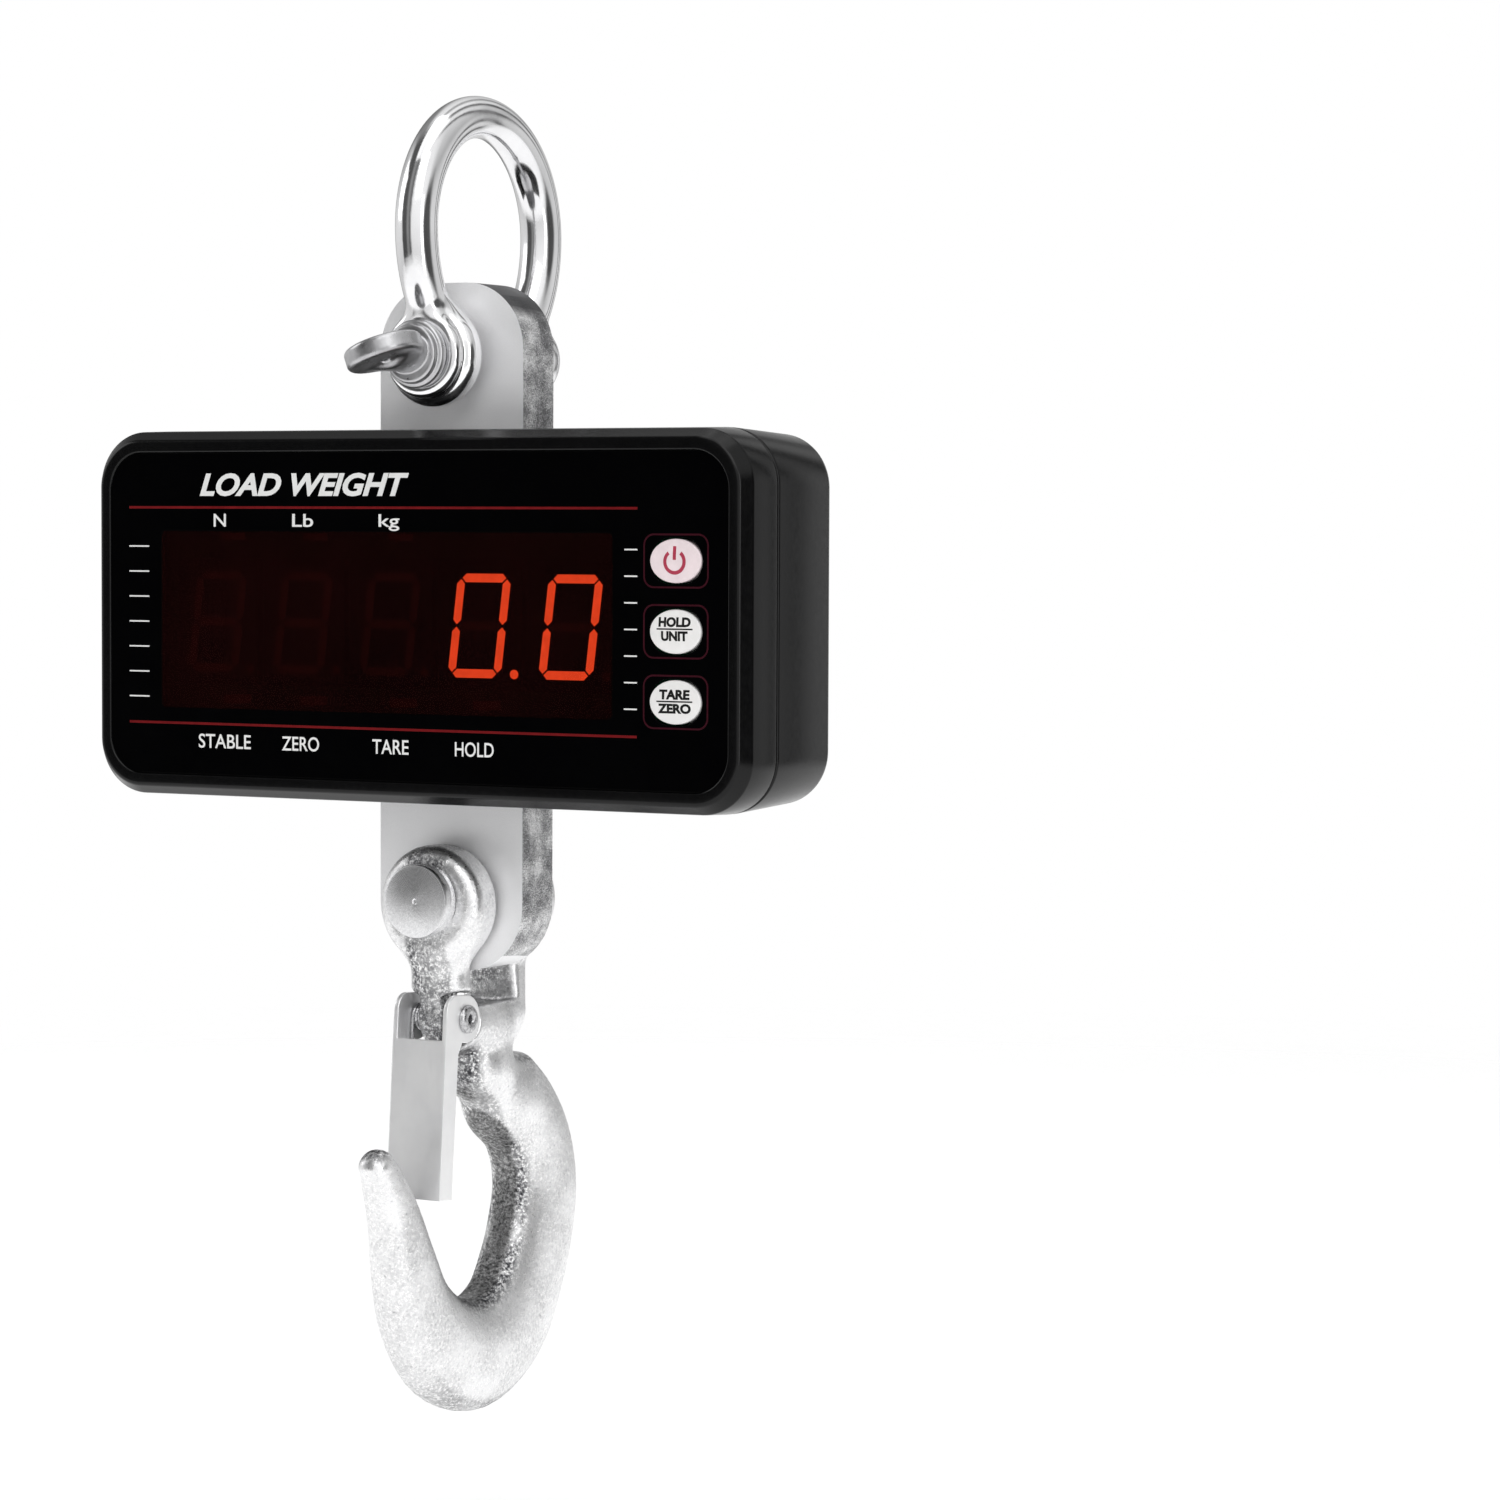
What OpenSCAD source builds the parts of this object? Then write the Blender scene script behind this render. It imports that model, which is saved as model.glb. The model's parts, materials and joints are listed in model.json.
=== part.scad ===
// Crane scale: a load cell hung from a bow shackle, with a clevis hook below it and an
// LED weight display in a flat two-piece housing around it.
// The origin is the inside crown of the shackle bow, where the crane carries the scale.
// +X is to the right as the display is read, the display faces -Y, and +Z is up.

/* [Shackle] */
// Diameter of the round bar that the bow is bent from
bow_bar_d = 12; // [10:0.5:14]
// Radius of the bow's crown, at the middle of the bar
bow_r = 33; // [30:0.5:38]
// Height of the crown's centre above the shackle pin
bow_rise = 35.5; // [34:0.5:44]
// Distance of each eye's middle from the bow's middle plane
eye_y = 25.5; // [23:0.5:26]
// Outer radius of the plain eye at the pin's head
eye_r = 14.6; // [13:0.1:16]
// Outer radius of the threaded eye
threaded_eye_r = 11; // [11:0.1:14]
// Diameter of the shackle pin and of the clevis pin
pin_d = 14; // [12:0.5:16]
// Radius of the flat tab that turns the shackle pin
tab_r = 11; // [9:0.5:13]
// Angle at which the tab stands once the pin is tight
tab_roll = 20; // [0:1:90]
// How far back along its pin the bow hangs from the middle of the load cell
bow_slide = 7; // [0:0.5:8]

/* [Load cell] */
// Width of the load cell plate
cell_w = 48; // [44:1:54]
// Thickness of the load cell plate
cell_t = 16.2; // [14:0.2:18]
// Distance between the shackle pin and the clevis pin
pin_span = 153.6; // [148:0.2:162]
// Distance from each pin to the end of the plate
cell_end = 20.7; // [19:0.1:24]
// Corner radius of the plate
cell_corner_r = 19; // [10:0.5:20]

/* [Housing] */
// Width of the housing
case_w = 218.6; // [210:0.2:230]
// Height of the housing
case_h = 105.6; // [100:0.2:112]
// Depth of housing in front of the load cell's middle plane
case_front = 31; // [30:0.5:36]
// Depth of housing behind the load cell's middle plane
case_back = 20.6; // [20:0.2:28]
// Corner radius of the housing at its seam
case_corner_r = 16; // [12:1:20]
// Wall thickness of the housing
wall = 3; // [2.5:0.1:3.5]

/* [Display and keys] */
// Height of one lit digit
digit_h = 29; // [25:0.5:32]
// Distance from one digit to the next
digit_pitch = 29.7; // [28:0.1:31]
// Width of a key
key_w = 16; // [13:0.5:17]
// Height of a key
key_h = 12; // [10:0.2:12.5]
// Travel of a key
key_travel = 0.5; // [0.3:0.1:0.6]

/* [Hook] */
// Radius of the hook's clevis ears
ear_r = 17; // [15:0.2:18]
// Thickness of each clevis ear
ear_t = 11.8; // [10:0.2:12.5]
// Width of the gap between the ears
fork_gap = 22; // [20:0.5:24]
// How far back along the clevis pin the hook hangs
hook_slide = 1.5; // [0:0.1:1.5]
// Size of the hook bowl and point against the nominal hook
hook_scale = 1; // [0.9:0.05:1.1]
// Width of the safety latch
latch_w = 18; // [16:0.5:20]
// Length of the safety latch below its rivet
latch_len = 51; // [46:1:54]

/* [Hidden] */
$fn = 96;
eps = 0.02;

// Fits
run_gap = 0.08;
slip = 0.3;

// Heights, measured down from the crown
bar_r = bow_bar_d / 2;
pin_r = pin_d / 2;
pin_z = -(bow_rise + bow_r - bar_r);
clevis_z = pin_z - pin_span;
case_top = pin_z - 20.8;
case_mid = case_top - case_h / 2;
case_bottom = case_top - case_h;

// Depths, measured from the load cell's middle plane
seam_y = -14.5;
front_y = -case_front;
back_y = case_back;
panel_y = front_y + 0.5;
panel_t = 0.6;
facia_t = 2.6;
facia_y = panel_y + panel_t;
front_inset = 3.4;
back_inset = 1.2;

// Display and key layout
window_x = [-86.4, 68.2];
window_z = [case_mid - 28.6, case_mid + 25.4];
digit_x0 = -67.2;
digit_z = case_mid - 2.1;
digit_w = 23;
digit_front_y = -27.6;
digit_depth = 7;
display_board_y = digit_front_y + digit_depth;
board_post_x = 85.5;
board_post_z = 37;
key_x = 86.6;
key_z = [case_mid + 16.4, case_mid - 2.7, case_mid - 21.8];
key_proud = 0.9;
indicator_z = case_mid - 36.9;
indicator_x = [-63, -36.5, -5.8, 22];
unit_z = case_mid + 26.9;
unit_x = [-64.5, -35.8, -6.6];

// Boards, battery and jack behind the display
board_t = 1.6;
main_board_y = 6;
main_board_x = 61.5;
main_board_size = [57, 84];
standoff_x = 24;
standoff_z = 37;
jack_x = 82;
jack_z = case_mid - 24;
jack_recess = 3.2;
cell_count = 3;
battery_r = 9.1;
battery_len = 65;
battery_x = -60;
battery_y = -1.5;
case_screw_x = case_w / 2 - 13;
case_screw_z = case_h / 2 - 13;
cell_screw_z = 31;

// Hook, measured from the clevis pin: [forward-back, height, half depth, half thickness]
ear_gap = fork_gap / 2;
ear_drop = 1.6;
crotch_z = -31.5;
rivet_y = -15;
rivet_z = -34;
rivet_r = 2.5;
hook_spine = [
    [3, -30, 10, 9], [4, -38, 11.2, 9.4], [8, -47, 11.6, 9.4], [18, -57.5, 12.8, 9.4],
    [27, -66.5, 14.2, 9.5], [33.5, -76.5, 15.5, 9.6], [36, -88, 16.3, 9.8], [34.2, -99, 16.6, 10],
    [29.5, -111, 16.6, 10.2], [19.5, -125.5, 17, 10.4], [2.5, -132.6, 16.8, 10.4],
    [-15, -128.5, 15.6, 10], [-27.5, -117, 13.2, 9.2], [-33.9, -102.5, 10.6, 8.4],
    [-38.9, -88, 7.8, 7.2], [-44.5, -77, 6, 5.8], [-47.5, -72.5, 5, 5]
];
spine_steps = 4;
ring_sides = 20;

// ---------- shared shapes ----------

// Things fixed to the load cell are drawn about its middle plane and then set in place.
module on_cell() translate([0, -bow_slide, 0]) children();

// Things on the hook are drawn about the middle plane of its fork.
module on_hook() translate([0, hook_slide - bow_slide, 0]) children();

// A shaft or bore along Y from y0 to y1.
module rod_y(r, y0, y1) translate([0, y0, 0]) rotate([-90, 0, 0]) cylinder(r = r, h = y1 - y0);

// A round bar along X from x0 to x1.
module rod_x(r, x0, x1) translate([x0, 0, 0]) rotate([0, 90, 0]) cylinder(r = r, h = x1 - x0);

// An outline in X and Z pushed back from y0 to y1.
module slab(y0, y1) translate([0, y1, 0]) rotate([90, 0, 0]) linear_extrude(y1 - y0) children();

// A rectangle with round corners, centred on the origin.
module round_rect(w, h, r) {
    square([w - 2 * r, h], center = true);
    square([w, h - 2 * r], center = true);
    for (sx = [-1, 1], sz = [-1, 1])
        translate([sx * (w / 2 - r), sz * (h / 2 - r)]) circle(r);
}

// A long oval: a rectangle with fully round ends.
module oval(w, h) round_rect(w, h, h / 2 - 0.01);

// One slice of the housing at depth y, drawn in from its largest outline by inset.
module case_slice(y, inset) {
    r = case_corner_r - inset * 0.8;
    slab(y, y + eps)
        round_rect(case_w - 2 * inset, case_h - 2 * inset, r, $fn = 48);
}

// ---------- shackle ----------

// An eye of outer radius r and thickness t, with well rounded rims.
module eye_blank(y_mid, r, t) {
    edge_r = t * 0.42;
    flat = t / 2 - edge_r;
    translate([0, y_mid, pin_z]) rotate([-90, 0, 0]) rotate_extrude() union() {
        translate([0, -t / 2]) square([r - edge_r, t]);
        translate([0, -flat]) square([r, 2 * flat]);
        for (s = [-1, 1]) translate([r - edge_r, s * flat]) circle(edge_r);
    }
}

module shackle_bow() color("gainsboro") difference() {
    leg_r = 40;
    leg_sweep = 38;
    threaded_eye_t = 9;
    union() {
        translate([0, 0, pin_z + bow_rise]) rotate([90, 0, 90])
            rotate_extrude(angle = 180) translate([bow_r, 0]) circle(bar_r);
        for (s = [0, 1]) mirror([0, s, 0])
            translate([0, bow_r - leg_r, pin_z + bow_rise]) rotate([90, 0, 90])
                rotate_extrude(start = -leg_sweep, angle = leg_sweep)
                    translate([leg_r, 0]) circle(bar_r);
        eye_blank(-eye_y, eye_r, bow_bar_d);
        eye_blank(eye_y - (bow_bar_d - threaded_eye_t) / 2, threaded_eye_r, threaded_eye_t);
    }
    translate([0, 0, pin_z]) rod_y(pin_r + run_gap, -eye_y - bar_r - 1, eye_y + bar_r + 1);
}

module shackle_pin() color("silver") {
    collar_y = -eye_y - bar_r - slip;
    collar_t = 5;
    tab_t = 5;
    tab_y = collar_y - collar_t - tab_r - 1.5;
    translate([0, 0, pin_z]) {
        rod_y(pin_r, collar_y - 1, eye_y + bar_r);
        rod_y(9.6, collar_y - collar_t, collar_y);
        rotate([0, -tab_roll, 0]) difference() {
            union() {
                translate([0, tab_y, -tab_t / 2]) cylinder(r = tab_r, h = tab_t);
                rod_y(5.6, tab_y, collar_y - 1);
            }
            translate([0, tab_y - 2, -10]) cylinder(r = 2, h = 20);
        }
    }
}

// ---------- load cell ----------

module load_cell() on_cell() color("lightgray") difference() {
    plate_h = pin_span + 2 * cell_end;
    translate([0, 0, pin_z - pin_span / 2]) slab(-cell_t / 2, cell_t / 2)
        round_rect(cell_w, plate_h, cell_corner_r);
    translate([0, 0, pin_z]) rod_y(pin_r + run_gap, -cell_t, cell_t);
    translate([0, 0, clevis_z]) rod_y(pin_r + run_gap, -cell_t, cell_t);
    // A pocket from each face leaves the thin web that the gauges are bonded to.
    for (s = [0, 1]) mirror([0, s, 0])
        translate([0, 0, case_mid]) rod_y(15, 2.2, cell_t);
    // Tapped holes for the screws that hold the rear shell.
    for (s = [-1, 1])
        translate([0, 0, case_mid + s * cell_screw_z]) rod_y(2.1, 0, cell_t);
}

module strain_gauges() on_cell() color("darkorange")
    for (sy = [0, 1], a = [45, 135, 225, 315])
        mirror([0, sy, 0]) translate([0, 2.2, case_mid]) rotate([0, a, 0])
            translate([4, 0, -2]) cube([6.5, 0.3, 4]);

module cell_board() on_cell() color("seagreen") {
    translate([-7, -cell_t / 2 - 1.2, case_mid - 44]) cube([14, 1.2, 9]);
    for (i = [0:3])
        translate([-5 + i * 3.3, -cell_t / 2 - 1.2, case_mid - 40]) rod_y(0.8, -0.5, 0);
}

module cell_wiring() on_cell() color("crimson")
    for (i = [0:3]) {
        x = -5 + i * 3.3;
        y = -cell_t / 2 - 1.3;
        translate([x, y, case_mid - 34.95]) cylinder(r = 0.5, h = 17, $fn = 16);
        translate([x, y, case_mid - 18]) sphere(0.5, $fn = 16);
    }

// ---------- housing ----------

module case_bosses(y0, y1, bore_r) for (sx = [-1, 1], sz = [-1, 1])
    translate([sx * case_screw_x, 0, case_mid + sz * case_screw_z]) difference() {
        rod_y(5, y0, y1);
        rod_y(bore_r, y0 - 1, y1 + 1);
    }

// The slots in the top and bottom walls that the load cell passes through.
module cell_slot(grow) translate([0, 0, case_mid])
    cube([cell_w + 2 * grow, cell_t + 2 * grow, case_h + 10], center = true);

module key_hole(z, grow) translate([key_x, 0, z]) slab(front_y - 1, -20)
    oval(key_w + 2 * grow, key_h + 2 * grow);

module front_shell() on_cell() color([0.06, 0.06, 0.065]) union() {
    difference() {
        translate([0, 0, case_mid]) hull() {
            case_slice(front_y, front_inset);
            case_slice(front_y + 1, front_inset - 1.4);
            case_slice(front_y + 3.2, 1);
            case_slice(seam_y - eps, 0);
        }
        translate([0, 0, case_mid]) hull() {
            case_slice(facia_y + facia_t, wall + 1);
            case_slice(seam_y + 1, wall);
        }
        translate([0, 0, case_mid]) slab(front_y - 1, facia_y)
            round_rect(case_w - 13.2, case_h - 13.2, 9.5);
        translate([(window_x[0] + window_x[1]) / 2, 0, (window_z[0] + window_z[1]) / 2])
            slab(front_y - 1, -20)
                round_rect(window_x[1] - window_x[0], window_z[1] - window_z[0], 2);
        for (z = key_z) key_hole(z, 1.6);
    }
    case_bosses(facia_y + facia_t - 0.5, seam_y, 1.7);
    // Posts that the display board is screwed to.
    for (sx = [-1, 1], sz = [-1, 1])
        translate([sx * board_post_x, 0, case_mid + sz * board_post_z]) difference() {
            rod_y(3.4, facia_y + facia_t - 0.5, display_board_y);
            rod_y(1.55, facia_y + facia_t, display_board_y + 1);
        }
}

module rear_shell() on_cell() color([0.07, 0.07, 0.075]) difference() {
    union() {
        difference() {
            translate([0, 0, case_mid]) hull() {
                case_slice(seam_y + 0.4, 0);
                case_slice(back_y - 4.5, back_inset);
                case_slice(back_y - 1.3, back_inset + 1.3);
                case_slice(back_y - eps, back_inset + 4.5);
            }
            translate([0, 0, case_mid]) hull() {
                case_slice(seam_y - 1, wall);
                case_slice(back_y - wall, wall + 1.5);
            }
            cell_slot(1.6);
        }
        case_bosses(seam_y + 0.4, back_y - wall + 0.5, 2.2);
        for (s = [-1, 1]) translate([0, 0, case_mid + s * cell_screw_z])
            rod_y(7, cell_t / 2 + 0.1, back_y - wall + 0.5);
        translate([jack_x, 0, jack_z]) rod_y(8.8, back_y - wall - 3, back_y - wall + 0.5);
    }
    for (sx = [-1, 1], sz = [-1, 1])
        translate([sx * case_screw_x, 0, case_mid + sz * case_screw_z]) {
            rod_y(2.2, seam_y, back_y + 1);
            rod_y(4, back_y - 4, back_y + 1);
        }
    for (s = [-1, 1]) translate([0, 0, case_mid + s * cell_screw_z]) {
        rod_y(2.7, 0, back_y + 1);
        rod_y(4.8, back_y - 4, back_y + 1);
    }
    translate([jack_x, 0, jack_z]) {
        rod_y(5.2, 0, back_y + 1);
        rod_y(7, back_y - jack_recess, back_y + 1);
        // A shallow notch for a fingertip beside the plug.
        translate([6.5, 0, 0]) rod_y(3.4, back_y - 1.8, back_y + 1);
    }
}

module seam_gasket() on_cell() color("dimgray") translate([0, 0, case_mid])
    slab(seam_y, seam_y + 0.4) difference() {
        round_rect(case_w - 1.2, case_h - 1.2, case_corner_r - 0.6);
        round_rect(case_w - 5.2, case_h - 5.2, case_corner_r - 2.6);
    }

module slot_seals() on_cell() color([0.1, 0.1, 0.1])
    for (s = [-1, 1]) translate([0, 0, case_mid + s * (case_h / 2 - wall + 0.3)])
        difference() {
            cube([cell_w + 3.1, cell_t + 3.1, 3.8], center = true);
            cube([cell_w + 0.1, cell_t + 0.1, 6], center = true);
        }

module pan_screw(head_r, head_h, shaft_r, length) {
    difference() {
        rod_y(head_r, 0, head_h);
        translate([0, head_h, 0]) rotate([90, 30, 0]) cylinder(r = head_r * 0.5, h = head_h * 0.6, $fn = 6);
    }
    rod_y(shaft_r, -length, 0);
}

module case_screws() on_cell() color("dimgray") for (sx = [-1, 1], sz = [-1, 1])
    translate([sx * case_screw_x, back_y - 4, case_mid + sz * case_screw_z])
        pan_screw(3.6, 2.6, 1.65, 38);

module cell_screws() on_cell() color("dimgray") for (s = [-1, 1])
    translate([0, back_y - 4, case_mid + s * cell_screw_z])
        pan_screw(4.4, 3, 2.05, 14);

// ---------- display ----------

module panel_overlay() on_cell() color([0.02, 0.02, 0.022]) difference() {
    translate([0, 0, case_mid]) slab(panel_y, facia_y) round_rect(case_w - 13.6, case_h - 13.6, 9.3);
    translate([(window_x[0] + window_x[1]) / 2, 0, (window_z[0] + window_z[1]) / 2])
        slab(front_y - 1, 0)
            round_rect(window_x[1] - window_x[0] - 3, window_z[1] - window_z[0] - 3, 1.5);
    for (z = key_z) key_hole(z, 0.35);
}

module display_window() on_cell() color([0.2, 0.02, 0.02, 0.6])
    translate([(window_x[0] + window_x[1]) / 2, 0, (window_z[0] + window_z[1]) / 2]) {
        w = window_x[1] - window_x[0];
        h = window_z[1] - window_z[0];
        slab(facia_y, facia_y + 1.8) round_rect(w - 0.4, h - 0.4, 1.8);
        slab(panel_y, facia_y + 0.1) round_rect(w - 3.2, h - 3.2, 1.4);
    }

// One seven-segment module: a box with seven bars and a point standing on its face.
module digit(index) on_cell() color([0.25, 0.03, 0.02])
    translate([digit_x0 + index * digit_pitch, 0, digit_z]) {
        slant = 7;
        bar = 2.4;
        half_w = 7.5;
        half_h = digit_h / 2;
        face = digit_front_y;
        slab(face + 0.2, face + digit_depth) square([digit_w + 4.6, digit_h + 7], center = true);
        slab(face, face + 0.3) multmatrix([[1, tan(slant), 0, 0], [0, 1, 0, 0], [0, 0, 1, 0]]) {
            for (z = [-1, 0, 1])
                translate([0, z * (half_h - bar / 2)]) square([2 * half_w - 2.6, bar], center = true);
            for (sx = [-1, 1], sz = [-1, 1])
                translate([sx * half_w, sz * half_h / 2]) square([bar, half_h - 2.4], center = true);
        }
        translate([half_w + 3.9, 0, 1.2 - half_h]) rod_y(1.3, face, face + 0.3);
    }

module indicator_leds() on_cell() color("darkred") {
    for (x = indicator_x) translate([x, 0, indicator_z + 12.5])
        slab(facia_y + facia_t + 0.3, display_board_y) square([5, 2.4], center = true);
    for (x = unit_x) translate([x, 0, unit_z - 4.6])
        slab(facia_y + facia_t + 0.3, display_board_y) square([4, 2], center = true);
}

module remote_receiver() on_cell() color([0.1, 0.05, 0.08])
    translate([73.5, 0, case_mid - 34]) {
        slab(display_board_y - 4.2, display_board_y) square([5.4, 6.4], center = true);
        translate([0, display_board_y - 4.2, 0.6]) sphere(1.9);
    }

module display_board() on_cell() color("darkgreen") difference() {
    translate([0, 0, case_mid]) slab(display_board_y, display_board_y + board_t)
        round_rect(181, 84, 3);
    for (sx = [-1, 1], sz = [-1, 1])
        translate([sx * board_post_x, 0, case_mid + sz * board_post_z]) rod_y(1.7, -30, 0);
}

module display_screws() on_cell() color("gray") for (sx = [-1, 1], sz = [-1, 1])
    translate([sx * board_post_x, 0, case_mid + sz * board_post_z]) {
        rod_y(2.8, display_board_y + board_t, display_board_y + board_t + 1.8);
        rod_y(1.5, facia_y + facia_t + 0.3, display_board_y + board_t);
    }

// ---------- keys ----------

module key(z) on_cell() translate([key_x, 0, z]) {
    flange_y = facia_y + facia_t + slip;
    slab(panel_y - key_proud, flange_y + 0.1) oval(key_w, key_h);
    slab(flange_y, flange_y + 1) oval(key_w + 5, key_h + 4.4);
    rod_y(2, flange_y + 0.5, display_board_y - 3 - slip - key_travel);
}

module key_power() color("mistyrose") key(key_z[0]);
module key_hold_unit() color("white") key(key_z[1]);
module key_tare_zero() color("white") key(key_z[2]);

module key_switches() on_cell() color("dimgray") for (z = key_z) translate([key_x, 0, z]) {
    slab(display_board_y - 2.4, display_board_y) square([6, 6], center = true);
    rod_y(1.6, display_board_y - 3, display_board_y - 2.4);
}

// ---------- electronics behind the load cell ----------

module main_board() on_cell() color("green") {
    translate([main_board_x, 0, case_mid]) difference() {
        slab(main_board_y, main_board_y + board_t)
            square([main_board_size[0], main_board_size[1]], center = true);
        for (sx = [-1, 1], sz = [-1, 1])
            translate([sx * standoff_x, 0, sz * standoff_z]) rod_y(1.7, 0, 20);
    }
    translate([main_board_x, 0, case_mid]) {
        slab(main_board_y - 1.6, main_board_y) translate([-10, 16]) square([12, 12], center = true);
        slab(main_board_y - 1.6, main_board_y) translate([12, 20]) square([10, 6], center = true);
        slab(main_board_y - 6, main_board_y) translate([-24, -6]) square([6, 20], center = true);
        for (i = [0:2])
            translate([-14 + i * 11, 0, -28]) rod_y(3.2, main_board_y - 9, main_board_y);
    }
}

module board_standoffs() on_cell() color("goldenrod") for (sx = [-1, 1], sz = [-1, 1])
    translate([main_board_x + sx * standoff_x, 0, case_mid + sz * standoff_z]) difference() {
        rod_y(2.9, main_board_y + board_t, back_y - wall - 0.02);
        rod_y(1.3, main_board_y, main_board_y + 8);
    }

module board_screws() on_cell() color("gray") for (sx = [-1, 1], sz = [-1, 1])
    translate([main_board_x + sx * standoff_x, 0, case_mid + sz * standoff_z]) {
        rod_y(2.7, main_board_y - 1.8, main_board_y);
        rod_y(1.25, main_board_y, main_board_y + 7);
    }

module buzzer() on_cell() color([0.1, 0.1, 0.1]) translate([main_board_x + 18, 0, case_mid + 2])
    difference() {
        rod_y(6, main_board_y - 7.5, main_board_y);
        rod_y(1.2, main_board_y - 8, main_board_y - 5);
    }

module battery_cells() on_cell() color("royalblue") for (i = [0:cell_count - 1])
    translate([battery_x + (i - (cell_count - 1) / 2) * 2 * (battery_r + 0.15), battery_y,
               case_mid - battery_len / 2]) {
        cylinder(r = battery_r, h = battery_len);
        translate([0, 0, battery_len - eps]) cylinder(r = 3, h = 1.2);
    }

module battery_holder() on_cell() color([0.15, 0.15, 0.16]) {
    w = cell_count * 2 * (battery_r + 0.15) + 0.6;
    depth0 = battery_y + 2;
    depth1 = back_y - wall - 0.05;
    back_t = 1.8;
    y_back = battery_y + battery_r + 0.2;
    translate([battery_x, 0, case_mid]) {
        slab(y_back, y_back + back_t) square([w, battery_len + 9], center = true);
        for (s = [-1, 1]) translate([0, 0, s * (battery_len / 2 + 3.1)])
            slab(battery_y - 4, y_back + back_t) square([w, 2.6], center = true);
        for (sx = [-1, 1], sz = [-1, 1]) translate([sx * 22, 0, sz * 24])
            rod_y(3, y_back + back_t - eps, depth1);
    }
}

module battery_leads() on_cell() color("firebrick") for (s = [-1, 1])
    translate([battery_x + 20 + s * 2, battery_y - 11, case_mid + 10]) {
        cylinder(r = 0.8, h = 24, $fn = 16);
        translate([0, 0, 24]) sphere(0.8, $fn = 16);
    }

module charge_jack() on_cell() color([0.08, 0.08, 0.08]) translate([jack_x, 0, jack_z]) {
    rim_y = back_y - jack_recess;
    difference() {
        union() {
            rod_y(5.1, main_board_y + board_t + 0.2, rim_y + 0.1);
            rod_y(6.6, rim_y + 0.05, rim_y + 1);
        }
        rod_y(2.85, rim_y - 7, back_y);
    }
    rod_y(1.05, rim_y - 7.2, rim_y - 0.3);
}

module jack_plug() on_cell() color([0.05, 0.05, 0.05]) translate([jack_x, 0, jack_z]) {
    face_y = back_y - jack_recess + 1.3;
    difference() {
        union() {
            rod_y(6.6, face_y, back_y - 0.3);
            rod_y(2.75, face_y - 6, face_y + 0.1);
        }
        rod_y(1.3, face_y - 7, face_y - 0.6);
    }
}

// ---------- hook ----------

function lerp4(a, b, c, d, t) =
    0.5 * (2 * b + (c - a) * t + (2 * a - 5 * b + 4 * c - d) * t * t
        + (3 * b - a - 3 * c + d) * t * t * t);

function spine_at(i) = hook_spine[max(0, min(len(hook_spine) - 1, i))];

// The spine made smooth, as [forward-back, height, half depth, half thickness].
spine = [
    for (i = [0:len(hook_spine) - 2], k = [0:spine_steps - 1])
        lerp4(spine_at(i - 1), spine_at(i), spine_at(i + 1), spine_at(i + 2), k / spine_steps),
    spine_at(len(hook_spine) - 1)
];

function heading(i) =
    let (a = spine[max(0, i - 1)], b = spine[min(len(spine) - 1, i + 1)],
         d = [b[0] - a[0], b[1] - a[1]])
    d / norm(d);

function ring(c, dir, half_depth, half_thick) = [
    for (k = [0:ring_sides - 1])
        let (a = 360 * k / ring_sides, across = half_depth * cos(a))
        [half_thick * sin(a), c[0] - dir[1] * across, c[1] + dir[0] * across]
];

// Rings that close the point as a dome past the end of the spine.
tip = spine[len(spine) - 1];
tip_dir = heading(len(spine) - 1);
tip_rings = [
    for (a = [22, 44, 64, 80])
        ring([tip[0] + tip_dir[0] * tip[2] * sin(a), tip[1] + tip_dir[1] * tip[2] * sin(a)],
             tip_dir, tip[2] * cos(a), tip[3] * cos(a))
];

// A closed skin over rings of n points each.
module skin(rings, n) {
    last = len(rings) - 1;
    polyhedron(
        points = [for (r = rings) each r],
        faces = concat(
            [[for (k = [0:n - 1]) k]],
            [for (i = [0:last - 1], k = [0:n - 1])
                [i * n + k, (i + 1) * n + k, (i + 1) * n + (k + 1) % n, i * n + (k + 1) % n]],
            [[for (k = [n - 1:-1:0]) last * n + k]]));
}

module hook_bar() skin(
    concat([for (i = [0:len(spine) - 1]) ring(spine[i], heading(i), spine[i][2], spine[i][3])],
           tip_rings),
    ring_sides);

// One ear of the fork, with a well rounded outer edge, and the arm that carries it.
module clevis_ear() {
    outer_r = 5;
    inner_r = 0.8;
    translate([0, ear_gap + ear_t, -ear_drop]) rotate([90, 0, 0]) rotate_extrude() union() {
        square([ear_r - outer_r, ear_t]);
        translate([0, outer_r]) square([ear_r, ear_t - outer_r - inner_r]);
        translate([0, outer_r]) square([ear_r - inner_r, ear_t - outer_r]);
        translate([ear_r - outer_r, outer_r]) circle(outer_r);
        translate([ear_r - inner_r, ear_t - inner_r]) circle(inner_r);
    }
    hull() {
        translate([0, ear_gap + 5.9, -8]) rotate([90, 0, 0])
            cylinder(r = 10.5, h = 9, center = true, $fn = 32);
        translate([0, ear_gap + 4.2, -32]) sphere(7.2, $fn = 32);
    }
}

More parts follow.
